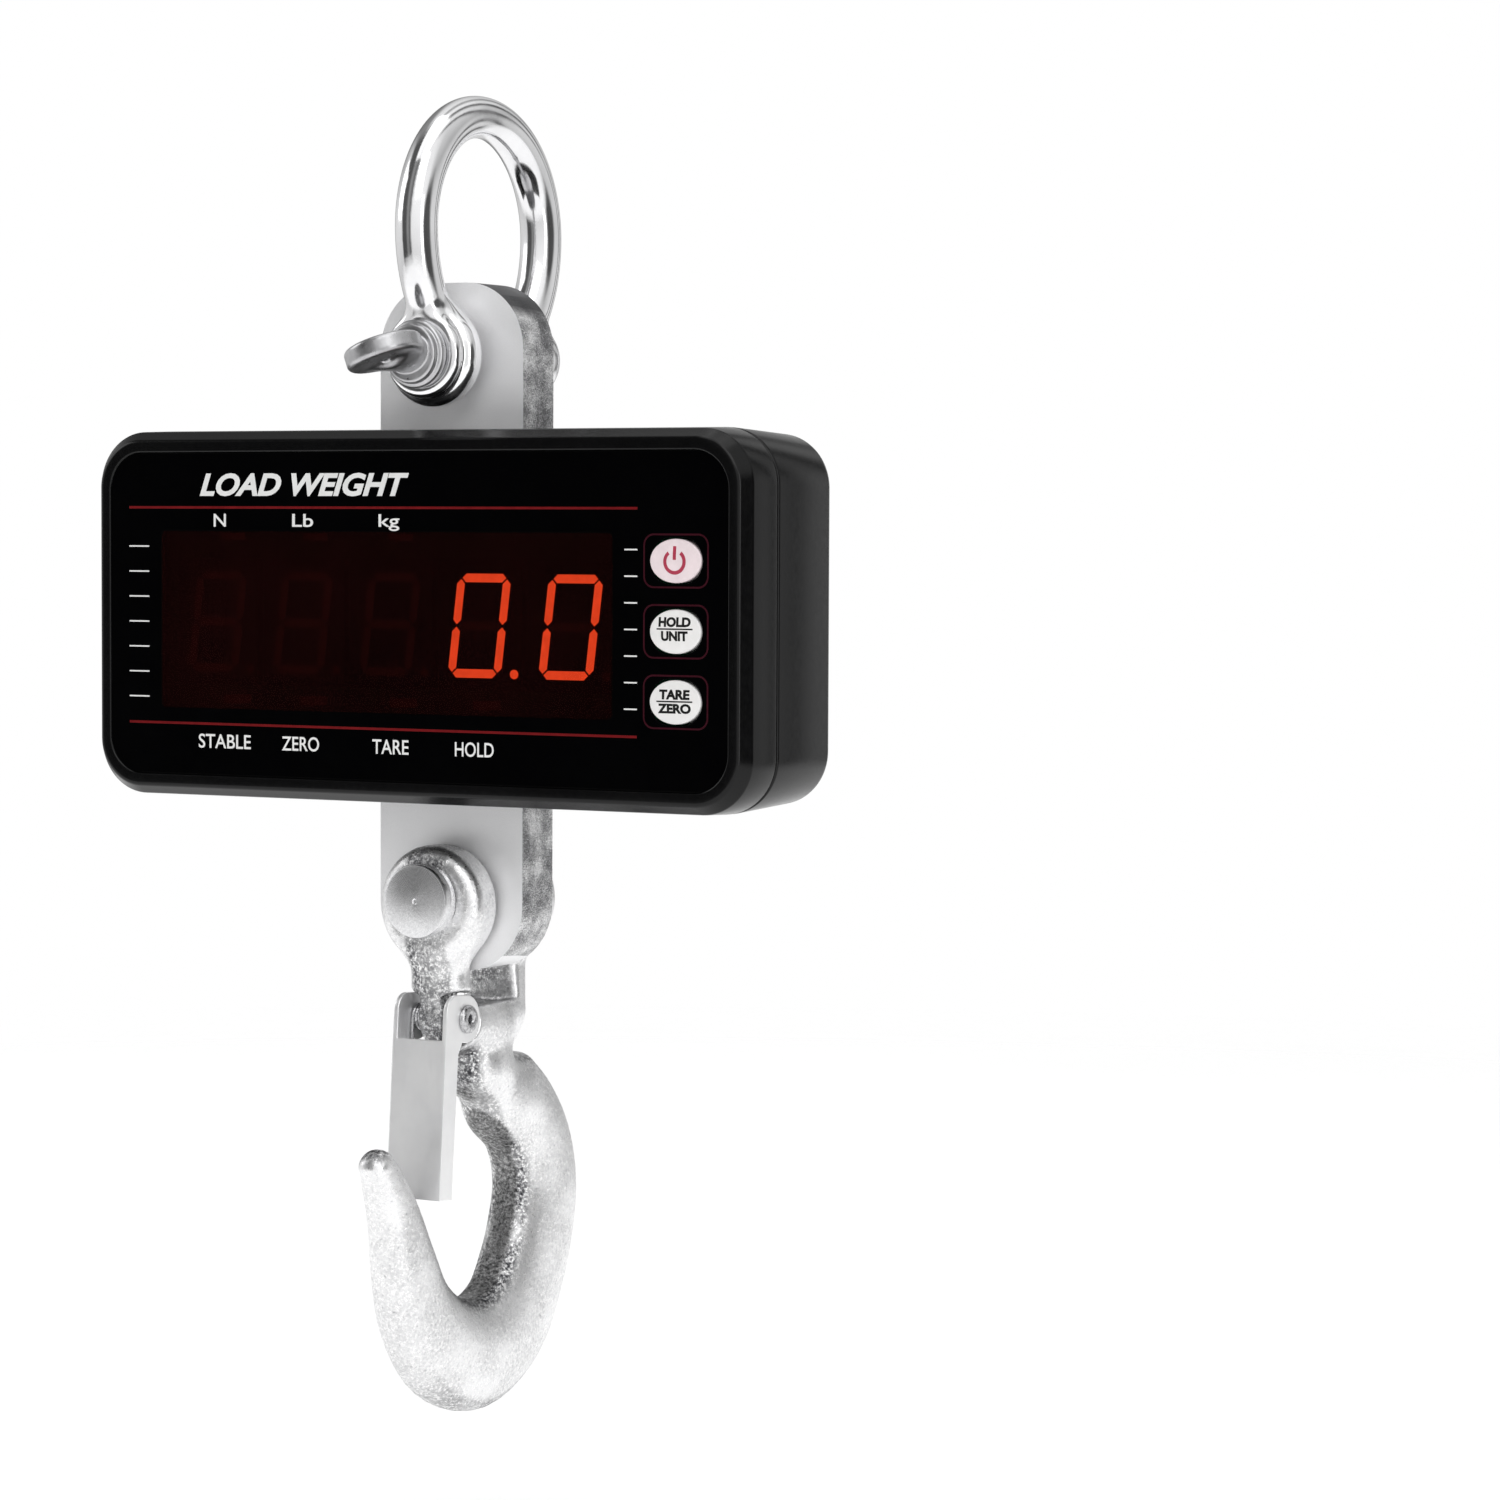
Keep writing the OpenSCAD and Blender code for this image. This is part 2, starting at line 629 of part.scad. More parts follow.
module hook_body() on_hook() color("lightgray") translate([0, 0, clevis_z]) difference() {
    union() {
        scale(hook_scale) hook_bar();
        clevis_ear();
        mirror([0, 1, 0]) clevis_ear();
        // The yoke joins both ears under the end of the plate.
        hull() {
            for (s = [-1, 1]) translate([0, s * 11, -37]) sphere(8, $fn = 32);
            translate([0, 4, -42]) sphere(9.8, $fn = 32);
        }
        // The lug that carries the latch rivet.
        translate([0, rivet_y, rivet_z]) rod_x(5.2, -3.6, 3.6);
    }
    rod_y(pin_r + run_gap, -40, 40);
    // Room for the end of the plate to swing.
    rod_y(-crotch_z, -ear_gap, ear_gap);
    // Pockets beside the lug for the latch ears and the spring.
    for (s = [-1, 1]) translate([s * 8.1, rivet_y - 0.5, rivet_z]) rod_x(7.9, -4.5, 4.5);
    translate([0, rivet_y, rivet_z]) rod_x(rivet_r + 0.05, -12, 12);
}

module clevis_pin() on_hook() color("silver") translate([0, 0, clevis_z]) difference() {
    face = ear_gap + ear_t;
    union() {
        rod_y(10.5, -face - 5.5, -face);
        rod_y(pin_r, -face - 1, face + 7);
    }
    translate([0, face + 3.4, 0]) rod_x(1.7, -12, 12);
}

module cotter_pin() on_hook() color("silver")
    translate([0, ear_gap + ear_t + 3.4, clevis_z]) {
        rod_x(1.55, -9, 11);
        translate([-12.2, 0, 0]) rotate([90, 0, 0])
            rotate_extrude() translate([3.2, 0]) circle(1);
    }

// ---------- latch ----------

latch_lean = 4.3;
latch_t = 1.5;
web_y = -10.4;
latch_top = 6.8;

module latch_frame() on_hook() translate([0, rivet_y, clevis_z + rivet_z])
    rotate([-latch_lean, 0, 0]) children();

module latch_plate() latch_frame() color("whitesmoke") difference() {
    half = latch_w / 2;
    union() {
        translate([-half, web_y, -latch_len]) cube([latch_w, latch_t, latch_len - 6]);
        for (s = [-1, 1]) translate([s * (half - latch_t / 2), 0, 0]) {
            rotate([90, 0, 90]) translate([0, 0, -latch_t / 2]) linear_extrude(latch_t) union() {
                circle(latch_top);
                translate([web_y + 5, latch_top - 5]) circle(5);
                translate([web_y + 5, 0]) square([-web_y - 5, latch_top]);
                translate([web_y, -6]) square([-web_y, latch_top + 1]);
                polygon([[web_y, 0], [2, 0], [-3.6, -10], [-4, -latch_len],
                         [web_y, -latch_len]]);
            }
        }
    }
    rod_x(rivet_r + 0.05, -20, 20);
}

module latch_rivet() on_hook() color("silver") translate([0, rivet_y, clevis_z + rivet_z]) {
    half = latch_w / 2;
    difference() {
        union() {
            rod_x(rivet_r, -half - 1, half + 1);
            for (s = [-1, 1]) translate([s * (half + 0.9), 0, 0]) rod_x(4.1, -0.8, 0.8);
        }
        rod_x(1.2, half - 1, half + 3);
    }
}

// The spring's wire: up a leg from the latch, round the coil, and down a short tail.
spring_r = 3.5;
spring_wire = 0.5;
spring_turns = 2.5;
spring_pitch = 1.02;
spring_x = 6.9;
spring_line = concat(
    [for (z = [-14, -9, -4]) [spring_x, -spring_r, z]],
    [for (a = [0:18:spring_turns * 360])
        [spring_x - spring_pitch * a / 360, -spring_r * cos(a), spring_r * sin(a)]],
    [for (z = [-2.5, -5]) [spring_x - spring_pitch * spring_turns, spring_r, z]]
);

function wire_ring(i) =
    let (n = len(spring_line), p = spring_line[i],
         d = spring_line[min(n - 1, i + 1)] - spring_line[max(0, i - 1)],
         t = d / norm(d), u = cross(t, [1, 0, 0]), across = u / norm(u), up = cross(across, t))
    [for (k = [0:7]) p + spring_wire * (cos(45 * k) * across + sin(45 * k) * up)];

module latch_spring() latch_frame() color("gray")
    for (s = [0, 1]) mirror([s, 0, 0])
        skin([for (i = [0:len(spring_line) - 1]) wire_ring(i)], 8);

shackle_bow();
shackle_pin();
load_cell();
strain_gauges();
cell_board();
cell_wiring();
front_shell();
rear_shell();
seam_gasket();
slot_seals();
case_screws();
cell_screws();
panel_overlay();
display_window();
digit(0);  // digit_1
digit(1);  // digit_2
digit(2);  // digit_3
digit(3);  // digit_4
digit(4);  // digit_5
indicator_leds();
remote_receiver();
display_board();
display_screws();
key_power();
key_hold_unit();
key_tare_zero();
key_switches();
main_board();
board_standoffs();
board_screws();
buzzer();
battery_cells();
battery_holder();
battery_leads();
charge_jack();
jack_plug();
hook_body();
clevis_pin();
cotter_pin();
latch_plate();
latch_rivet();
latch_spring();
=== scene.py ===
"""Looks of the crane scale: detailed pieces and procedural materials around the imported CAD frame.

Lengths in the shape code are millimetres in the row frame, and MM turns them into metres.
"""
import json
import math

import bmesh
import bpy
import numpy as np
from mathutils import Matrix, Vector


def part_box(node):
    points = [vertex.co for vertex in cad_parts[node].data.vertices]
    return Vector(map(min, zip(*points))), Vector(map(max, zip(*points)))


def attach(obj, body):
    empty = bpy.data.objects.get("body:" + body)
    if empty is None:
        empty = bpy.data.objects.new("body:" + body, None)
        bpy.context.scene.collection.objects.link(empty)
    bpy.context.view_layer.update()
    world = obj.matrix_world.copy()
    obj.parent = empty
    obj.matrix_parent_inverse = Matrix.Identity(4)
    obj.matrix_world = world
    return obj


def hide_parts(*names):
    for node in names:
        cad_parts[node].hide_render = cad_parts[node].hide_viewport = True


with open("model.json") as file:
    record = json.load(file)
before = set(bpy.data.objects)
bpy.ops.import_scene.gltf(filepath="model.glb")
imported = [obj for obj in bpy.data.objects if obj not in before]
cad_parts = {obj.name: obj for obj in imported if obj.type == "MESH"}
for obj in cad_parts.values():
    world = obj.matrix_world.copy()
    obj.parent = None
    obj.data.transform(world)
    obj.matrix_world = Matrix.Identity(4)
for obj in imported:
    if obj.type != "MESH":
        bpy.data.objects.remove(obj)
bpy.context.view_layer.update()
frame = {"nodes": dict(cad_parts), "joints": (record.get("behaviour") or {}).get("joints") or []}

MM = 0.001
JOINTS = {joint["name"]: joint for joint in frame["joints"]}


def place(joint):
    """A hinge's point in millimetres."""
    return np.array(JOINTS[joint]["pos_m"]) / MM


def box(node):
    """A CAD node's lowest and highest corner in millimetres."""
    low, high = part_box(node)
    return np.array(low) / MM, np.array(high) / MM


PIN = place("body_swing")
CLEVIS = place("hook_swing")
RIVET = place("latch_open")
PIN_R = 7.0
BORE_R = 7.08


# ---------- mesh tools ----------

def add_object(name, mesh):
    obj = bpy.data.objects.new(name, mesh)
    bpy.context.scene.collection.objects.link(obj)
    return obj


def mesh_from(name, points, faces, smooth_angle=None):
    """A mesh from millimetre points. smooth_angle in degrees keeps edges above it sharp."""
    mesh = bpy.data.meshes.new(name)
    mesh.from_pydata([tuple(p) for p in np.asarray(points) * MM], [], [tuple(map(int, f)) for f in faces])
    mesh.validate()
    bm = bmesh.new()
    bm.from_mesh(mesh)
    bmesh.ops.recalc_face_normals(bm, faces=bm.faces)
    bm.to_mesh(mesh)
    bm.free()
    if smooth_angle is not None:
        mesh.shade_smooth()
        mesh.set_sharp_from_angle(angle=math.radians(smooth_angle))
    return mesh


def bake_modifiers(obj):
    """Replaces the mesh of obj by its modified mesh."""
    deps = bpy.context.evaluated_depsgraph_get()
    mesh = bpy.data.meshes.new_from_object(obj.evaluated_get(deps))
    obj.modifiers.clear()
    obj.data = mesh


def cut(obj, cutters):
    """Takes the cutters out of obj and deletes them."""
    for cutter in cutters:
        mod = obj.modifiers.new("cut", "BOOLEAN")
        mod.operation = "DIFFERENCE"
        mod.solver = "EXACT"
        mod.object = cutter
    bake_modifiers(obj)
    for cutter in cutters:
        bpy.data.objects.remove(cutter)


def bevel(obj, width, segments=3, angle=35):
    """Rounds the sharp edges of obj by width millimetres, as a modifier."""
    weld = obj.modifiers.new("weld", "WELD")
    weld.merge_threshold = 0.002 * MM
    mod = obj.modifiers.new("bevel", "BEVEL")
    mod.width = width * MM
    mod.segments = segments
    mod.limit_method = "ANGLE"
    mod.angle_limit = math.radians(angle)
    mod.harden_normals = True
    return obj


def lathe(name, profile, centre, axis, sides=128, smooth_angle=40):
    """A turned piece. profile holds (radius, distance along the axis) pairs and closes at radius 0."""
    points, rings = [], []
    for radius, along in profile:
        ring = []
        for k in range(1 if radius == 0 else sides):
            a = 2 * math.pi * k / sides
            u, v = radius * math.cos(a), radius * math.sin(a)
            offset = (along, u, v) if axis == "X" else (u, along, v)
            ring.append(len(points))
            points.append(np.add(centre, offset))
        rings.append(ring)
    faces = []
    for a, b in zip(rings, rings[1:]):
        for k in range(sides):
            quad = [a[k % len(a)], a[(k + 1) % len(a)], b[(k + 1) % len(b)], b[k % len(b)]]
            quad = list(dict.fromkeys(quad))
            if len(quad) > 2:
                faces.append(quad)
    return add_object(name, mesh_from(name, points, faces, smooth_angle))


def round_rect(width, height, radius, per_corner=24):
    """Points of a rounded rectangle round the origin, as (x, z)."""
    points = []
    for corner, (sx, sz) in enumerate(((1, 1), (-1, 1), (-1, -1), (1, -1))):
        cx, cz = sx * (width / 2 - radius), sz * (height / 2 - radius)
        for k in range(per_corner + 1):
            a = math.radians(90 * corner + 90 * k / per_corner)
            points.append((cx + radius * math.cos(a), cz + radius * math.sin(a)))
    return points


def ellipse(width, height, count=96):
    return [(width / 2 * math.cos(2 * math.pi * k / count), height / 2 * math.sin(2 * math.pi * k / count))
            for k in range(count)]


def loft(name, rings, centre=(0, 0), smooth_angle=40):
    """A closed solid through outlines of equal point count. rings holds (y, [(x, z), ...])."""
    n = len(rings[0][1])
    points = [(centre[0] + x, y, centre[1] + z) for y, outline in rings for x, z in outline]
    faces = []
    for i in range(len(rings) - 1):
        for k in range(n):
            j = (k + 1) % n
            faces.append([i * n + k, i * n + j, (i + 1) * n + j, (i + 1) * n + k])
    faces.append(list(range(n)))
    faces.append(list(range((len(rings) - 1) * n, len(rings) * n)))
    return add_object(name, mesh_from(name, points, faces, smooth_angle))


def plate(name, outline, y0, y1, centre=(0, 0)):
    """An outline in X and Z made y1 - y0 thick."""
    return loft(name, [(y0, outline), (y1, outline)], centre)


def rod(name, radius, y0, y1, x, z, sides=64):
    return plate(name, ellipse(2 * radius, 2 * radius, sides), y0, y1, (x, z))


def join(name, objects):
    """One mesh from several, keeping their materials."""
    bm = bmesh.new()
    materials = []
    for obj in objects:
        start = len(bm.faces)
        bm.from_mesh(obj.data)
        bm.faces.ensure_lookup_table()
        slots = []
        for material in obj.data.materials:
            if material not in materials:
                materials.append(material)
            slots.append(materials.index(material))
        for face in bm.faces[start:]:
            face.material_index = slots[face.material_index] if slots else 0
    mesh = bpy.data.meshes.new(name)
    bm.to_mesh(mesh)
    bm.free()
    for material in materials:
        mesh.materials.append(material)
    for obj in objects:
        bpy.data.objects.remove(obj)
    return add_object(name, mesh)


# ---------- solids written as distance fields ----------

def smooth_min(a, b, k):
    h = np.clip(0.5 + 0.5 * (b - a) / k, 0, 1)
    return b + (a - b) * h - k * h * (1 - h)


def smooth_max(a, b, k):
    return -smooth_min(-a, -b, k)


def smooth_step(x, low, high):
    t = np.clip((x - low) / (high - low), 0, 1)
    return t * t * (3 - 2 * t)


def disc_field(radial, along, radius, thickness, edge):
    """A disc with its rims rounded by edge; radial and along are measured from its centre."""
    q = radial - (radius - edge)
    w = np.abs(along) - (thickness / 2 - edge)
    return np.hypot(np.maximum(q, 0), np.maximum(w, 0)) + np.minimum(np.maximum(q, w), 0) - edge


def capsule_field(p, a, b, ra, rb, squeeze=(1, 1, 1)):
    """A bar from a to b whose radius runs from ra to rb, stretched by squeeze."""
    p, a, b = (np.asarray(v) / squeeze for v in (p, a, b))
    d = b - a
    t = np.clip((p - a) @ d / (d @ d), 0, 1)
    return (np.linalg.norm(p - a - t[:, None] * d, axis=1) - (ra + (rb - ra) * t)) * min(squeeze)


def in_chunks(field, points, size=400000):
    return np.concatenate([field(points[i:i + size]) for i in range(0, len(points), size)])


def field_mesh(name, field, low, high, cell):
    """The surface where field is 0, as quads about one cell wide, each corner moved onto the surface."""
    low = np.asarray(low, float)
    axes = [np.arange(low[i], high[i] + cell, cell) for i in range(3)]
    count = [len(a) for a in axes]
    grid = np.stack(np.meshgrid(*axes, indexing="ij"), -1).reshape(-1, 3)
    value = in_chunks(field, grid).reshape(count)
    strides = np.array([count[1] * count[2], count[2], 1])
    sums = np.zeros((np.prod(count), 3))
    hits = np.zeros(np.prod(count))
    quads = []
    for axis in range(3):
        first = np.take(value, range(count[axis] - 1), axis)
        last = np.take(value, range(1, count[axis]), axis)
        index = np.argwhere((first < 0) != (last < 0))
        v0, v1 = first[tuple(index.T)], last[tuple(index.T)]
        point = low + cell * index
        point[:, axis] += cell * v0 / (v0 - v1)
        around = []
        for db, dc in ((1, 1), (0, 1), (0, 0), (1, 0)):
            cell_index = index.copy()
            cell_index[:, (axis + 1) % 3] -= db
            cell_index[:, (axis + 2) % 3] -= dc
            flat = cell_index @ strides
            around.append(flat)
            hits += np.bincount(flat, minlength=len(hits))
            for i in range(3):
                sums[:, i] += np.bincount(flat, weights=point[:, i], minlength=len(hits))
        quad = np.stack(around, 1)
        quad[v0 > 0] = quad[v0 > 0][:, ::-1]
        quads.append(quad)
    used = np.flatnonzero(hits)
    renumber = np.zeros(len(hits), int)
    renumber[used] = np.arange(len(used))
    points = sums[used] / hits[used][:, None]
    step = 0.02
    for _ in range(4):
        here = in_chunks(field, points)
        slope = np.stack([(in_chunks(field, points + step * e) - here) / step for e in np.eye(3)], 1)
        move = -here[:, None] * slope / np.maximum((slope ** 2).sum(1), 0.05)[:, None]
        length = np.linalg.norm(move, axis=1)[:, None]
        points = points + move * np.minimum(1, 0.5 * cell / np.maximum(length, 1e-9))
    mesh = bpy.data.meshes.new(name)
    mesh.from_pydata((points * MM).tolist(), [], renumber[np.concatenate(quads)].tolist())
    mesh.shade_smooth()
    return mesh


# ---------- materials ----------

def add_node(tree, kind, inputs=(), **settings):
    """A shader node. inputs holds values or other nodes' outputs by socket."""
    made = tree.nodes.new("ShaderNode" + kind)
    for key, value in settings.items():
        setattr(made, key, value)
    for key, value in dict(inputs).items():
        if isinstance(value, bpy.types.NodeSocket):
            tree.links.new(value, made.inputs[key])
        else:
            made.inputs[key].default_value = value
    return made


def add_ramp(tree, factor, stops):
    """A colour ramp. stops holds (position, grey or colour) pairs."""
    made = add_node(tree, "ValToRGB", {"Fac": factor})
    elements = made.color_ramp.elements
    while len(elements) < len(stops):
        elements.new(0.5)
    for element, (position, value) in zip(elements, stops):
        element.position = position
        value = (value,) * 3 if isinstance(value, (int, float)) else value
        element.color = (*value, 1)
    return made.outputs["Color"]


class Finish:
    """A node material on one Principled shader, built up step by step."""

    def __init__(self, name, color, metallic=0.0, roughness=0.5, **sockets):
        self.material = bpy.data.materials.new(name)
        self.material.use_nodes = True
        self.tree = self.material.node_tree
        self.links = self.tree.links
        self.shader = self.tree.nodes["Principled BSDF"]
        self.shader.inputs["Base Color"].default_value = (*color, 1)
        self.shader.inputs["Metallic"].default_value = metallic
        self.shader.inputs["Roughness"].default_value = roughness
        for socket, value in sockets.items():
            self.shader.inputs[socket.replace("_", " ")].default_value = value
        self.normal = None
        self.coords = self.node("TexCoord").outputs["Object"]

    def node(self, kind, inputs=(), **settings):
        return add_node(self.tree, kind, inputs, **settings)

    def stretched(self, scale):
        """Object coordinates stretched by scale per axis."""
        return self.node("Mapping", {"Vector": self.coords, "Scale": scale}).outputs["Vector"]

    def noise(self, size, detail=4, rough=0.55, scale=None, distortion=0.0):
        """Noise with features about size millimetres across."""
        vector = self.stretched(scale) if scale else self.coords
        return self.node("TexNoise", {"Vector": vector, "Scale": 1 / (size * MM), "Detail": detail,
                                      "Roughness": rough, "Distortion": distortion}).outputs["Fac"]

    def ramp(self, factor, stops):
        return add_ramp(self.tree, factor, stops)

    def span(self, factor, low, high, from_low=0.0, from_high=1.0):
        return self.node("MapRange", {"Value": factor, "From Min": from_low, "From Max": from_high,
                                      "To Min": low, "To Max": high}).outputs["Result"]

    def math(self, operation, a, b=0.0):
        return self.node("Math", {0: a, 1: b}, operation=operation).outputs["Value"]

    def mix(self, factor, a, b):
        made = self.node("Mix", data_type="RGBA")
        for socket, value in ((made.inputs[0], factor), (made.inputs[6], a), (made.inputs[7], b)):
            if isinstance(value, bpy.types.NodeSocket):
                self.links.new(value, socket)
            else:
                socket.default_value = value if isinstance(value, float) else (*value, 1)
        return made.outputs[2]

    def bump(self, height, depth, strength=1.0):
        """Adds a bump that is depth millimetres deep."""
        inputs = {"Height": height, "Distance": depth * MM, "Strength": strength}
        if self.normal is not None:
            inputs["Normal"] = self.normal
        self.normal = self.node("Bump", inputs).outputs["Normal"]
        return self

    def color(self, socket):
        self.links.new(socket, self.shader.inputs["Base Color"])
        return self

    def rough(self, socket):
        self.links.new(socket, self.shader.inputs["Roughness"])
        return self

    def done(self):
        if self.normal is not None:
            self.links.new(self.normal, self.shader.inputs["Normal"])
        return self.material


def polished_chrome():
    f = Finish("polished_chrome", (0.86, 0.86, 0.87), 1, 0.08)
    smear = f.noise(9, 5, 0.6, (1, 1, 0.35))
    f.rough(f.span(smear, 0.08, 0.17, 0.35, 0.7))
    f.color(f.ramp(f.noise(16, 3), [(0.3, (0.80, 0.80, 0.81)), (0.7, (0.93, 0.93, 0.94))]))
    f.bump(f.noise(5, 2), 0.012).bump(f.noise(0.5, 3), 0.0016)
    return f.done()


def plated_steel():
    f = Finish("plated_steel", (0.5, 0.5, 0.51), 1, 0.2)
    f.rough(f.span(f.noise(2.2, 6, 0.65), 0.24, 0.42, 0.3, 0.7))
    f.color(f.ramp(f.noise(7, 4), [(0.3, (0.40, 0.40, 0.41)), (0.7, (0.62, 0.62, 0.63))]))
    f.bump(f.noise(3, 3, 0.5), 0.03).bump(f.noise(0.4, 2), 0.002)
    return f.done()


def satin_aluminium():
    """Pale milled faces, pitted edges, and painted shade on the rounded end that faces up."""
    f = Finish("satin_aluminium", (0.8, 0.8, 0.81), 0.62, 0.5)
    grain = f.noise(0.28, 3, 0.7)
    cloud = f.noise(9, 5, 0.6)
    normal = f.node("SeparateXYZ", {"Vector": f.node("TexCoord").outputs["Normal"]})
    edge = f.math("GREATER_THAN", f.math("ABSOLUTE", normal.outputs["X"]), 0.6)
    face = f.ramp(grain, [(0.3, (0.86, 0.86, 0.87)), (0.5, (0.94, 0.94, 0.95)), (0.7, (0.98, 0.98, 0.98))])
    pits = f.math("ADD", f.math("MULTIPLY", grain, 0.6), f.math("MULTIPLY", cloud, 0.4))
    speckle = f.ramp(pits, [(0.43, (0.04, 0.04, 0.045)), (0.50, (0.4, 0.4, 0.41)), (0.57, (0.9, 0.9, 0.9))])
    # Painted shade: side surfaces whose normal points up turn near-black, for the top end that lies in
    # shade.
    flank = f.math("LESS_THAN", f.math("ABSOLUTE", normal.outputs["Y"]), 0.5)
    end = f.math("MULTIPLY", flank, f.span(normal.outputs["Z"], 0, 0.9, 0.42, 0.62))
    # Mixes the painted shade over the face and edge colours.
    shaded = f.mix(end, f.mix(f.math("MULTIPLY", edge, 0.92), face, speckle), (0.03, 0.03, 0.034))
    f.color(shaded)
    f.rough(f.span(cloud, 0.46, 0.58, 0.3, 0.7))
    f.bump(grain, 0.02).bump(f.noise(2.5, 3), 0.012)
    return f.done()


def forged_zinc():
    """Zinc-coated forging: pitted and sparkling, rubbed smooth on its flanks, with painted shade on the flat
    band inside the bowl.
    """
    f = Finish("forged_zinc", (0.8, 0.8, 0.81), 1, 0.3)
    rubbed = f.node("Attribute", attribute_name="rubbed").outputs["Fac"]
    # This attribute marks the flat band inside the bowl, where shade is painted.
    inner = f.node("Attribute", attribute_name="painted_shade_band").outputs["Fac"]
    patches = f.span(f.noise(13, 3, 0.5), 0, 1, 0.4, 0.62)
    worn = f.math("MULTIPLY", rubbed, f.span(patches, 0.8, 1.0))
    smooth = f.math("MAXIMUM", worn, f.span(patches, 0, 0.55))
    pits = f.noise(1.0, 4, 0.75)
    rough = f.ramp(pits, [(0.43, (0.04, 0.04, 0.045)), (0.51, (0.26, 0.26, 0.27)), (0.60, (0.9, 0.9, 0.9))])
    clean = f.ramp(pits, [(0.30, (0.5, 0.5, 0.51)), (0.38, (0.84, 0.84, 0.85)), (0.6, (0.92, 0.92, 0.92))])
    # Painted shade: near-black pits for the flat band inside the bowl, which lies in shade.
    painted_bowl_shade = f.ramp(pits, [(0.36, (0.04, 0.04, 0.04)), (0.6, (0.3, 0.3, 0.3))])
    metal = f.mix(smooth, rough, clean)
    f.color(f.mix(f.math("MULTIPLY", inner, 0.85), metal, painted_bowl_shade))
    f.rough(f.span(pits, 0.4, 0.24, 0.35, 0.65))
    depth = f.math("MULTIPLY", pits, f.span(smooth, 1.0, 0.14))
    f.bump(f.noise(3.2, 4, 0.6), 0.22).bump(depth, 0.32).bump(f.noise(0.25, 2), 0.01)
    return f.done()


def turned_steel():
    f = Finish("turned_steel", (0.62, 0.62, 0.63), 1, 0.24, Anisotropic=0.8)
    f.links.new(f.node("Tangent", direction_type="RADIAL", axis="Y").outputs[0], f.shader.inputs["Tangent"])
    centre = (0, 0, -CLEVIS[2] * MM)
    middle = f.node("Mapping", {"Vector": f.coords, "Location": centre}).outputs["Vector"]
    rings = f.node("TexWave", {"Vector": middle, "Scale": 900, "Distortion": 0.6, "Detail": 2},
                   wave_type="RINGS", rings_direction="Y").outputs["Fac"]
    f.color(f.ramp(f.noise(0.6, 4), [(0.3, (0.66, 0.66, 0.67)), (0.7, (0.84, 0.84, 0.85))]))
    f.rough(f.span(rings, 0.22, 0.32))
    f.bump(rings, 0.006).bump(f.noise(0.4, 3), 0.004)
    return f.done()


def stamped_sheet():
    f = Finish("stamped_sheet", (0.84, 0.84, 0.85), 0.8, 0.3)
    lines = f.noise(0.5, 3, 0.6, (1, 1, 0.05))
    f.color(f.ramp(f.noise(14, 3), [(0.3, (0.86, 0.86, 0.87)), (0.7, (0.96, 0.96, 0.96))]))
    f.rough(f.span(lines, 0.36, 0.44, 0.3, 0.7))
    f.bump(lines, 0.001).bump(f.noise(9, 2), 0.04)
    return f.done()


def spring_steel():
    f = Finish("spring_steel", (0.5, 0.5, 0.52), 1, 0.25)
    f.color(f.ramp(f.noise(0.8, 3), [(0.3, (0.35, 0.35, 0.36)), (0.7, (0.65, 0.65, 0.66))]))
    f.rough(f.span(f.noise(0.5, 3), 0.18, 0.35)).bump(f.noise(0.2, 2), 0.004)
    return f.done()


def satin_black_paint():
    f = Finish("satin_black_paint", (0.002, 0.002, 0.002), 0, 0.2, Specular_IOR_Level=0.25)
    f.color(f.ramp(f.noise(22, 4), [(0.3, (0.0012, 0.0012, 0.0014)), (0.7, (0.0026, 0.0026, 0.0028))]))
    f.rough(f.span(f.noise(1.4, 4), 0.16, 0.24, 0.3, 0.7))
    f.bump(f.noise(0.9, 2), 0.006).bump(f.noise(0.25, 2), 0.0016)
    return f.done()


def panel_film():
    f = Finish("panel_film", (0.0006, 0.0006, 0.0008), 0, 0.16, Specular_IOR_Level=0.05)
    f.color(f.ramp(f.noise(30, 3), [(0.3, (0.0004, 0.0004, 0.0006)), (0.7, (0.0008, 0.0008, 0.001))]))
    f.rough(f.span(f.noise(5, 4), 0.13, 0.2, 0.3, 0.7)).bump(f.noise(1.2, 2), 0.0012)
    return f.done()


def smoked_window():
    f = Finish("smoked_window", (0.010, 0.0015, 0.0015), 0, 0.12, Alpha=0.8, Specular_IOR_Level=0.05)
    f.color(f.ramp(f.noise(40, 2), [(0.3, (0.005, 0.0008, 0.0008)), (0.7, (0.008, 0.0013, 0.0013))]))
    f.rough(f.span(f.noise(6, 3), 0.1, 0.16)).bump(f.noise(3, 2), 0.001)
    return f.done()


def grained(name, color, metallic=0.0, roughness=0.5, size=0.6, depth=0.01, spread=0.25, **sockets):
    """A plain material with grain: colour variation, uneven gloss and a fine bump."""
    f = Finish(name, color, metallic, roughness, **sockets)
    dark = tuple(c * (1 - spread) for c in color)
    light = tuple(min(1.0, c * (1 + spread)) for c in color)
    f.color(f.ramp(f.noise(size * 6, 5, 0.6), [(0.3, dark), (0.7, light)]))
    f.rough(f.span(f.noise(size * 3, 4), max(roughness - 0.08, 0.03), roughness + 0.08, 0.3, 0.7))
    f.bump(f.noise(size, 3), depth)
    return f.done()


def circuit_board():
    f = Finish("circuit_board", (0.02, 0.2, 0.09), 0, 0.35, Coat_Weight=0.4)
    tracks = f.node("TexBrick", {"Vector": f.coords, "Scale": 260.0, "Mortar Size": 0.012,
                                 "Color1": (0.01, 0.16, 0.07, 1), "Color2": (0.015, 0.22, 0.09, 1),
                                 "Mortar": (0.10, 0.36, 0.14, 1)})
    f.color(tracks.outputs["Color"]).bump(f.noise(0.5, 2), 0.004)
    return f.done()


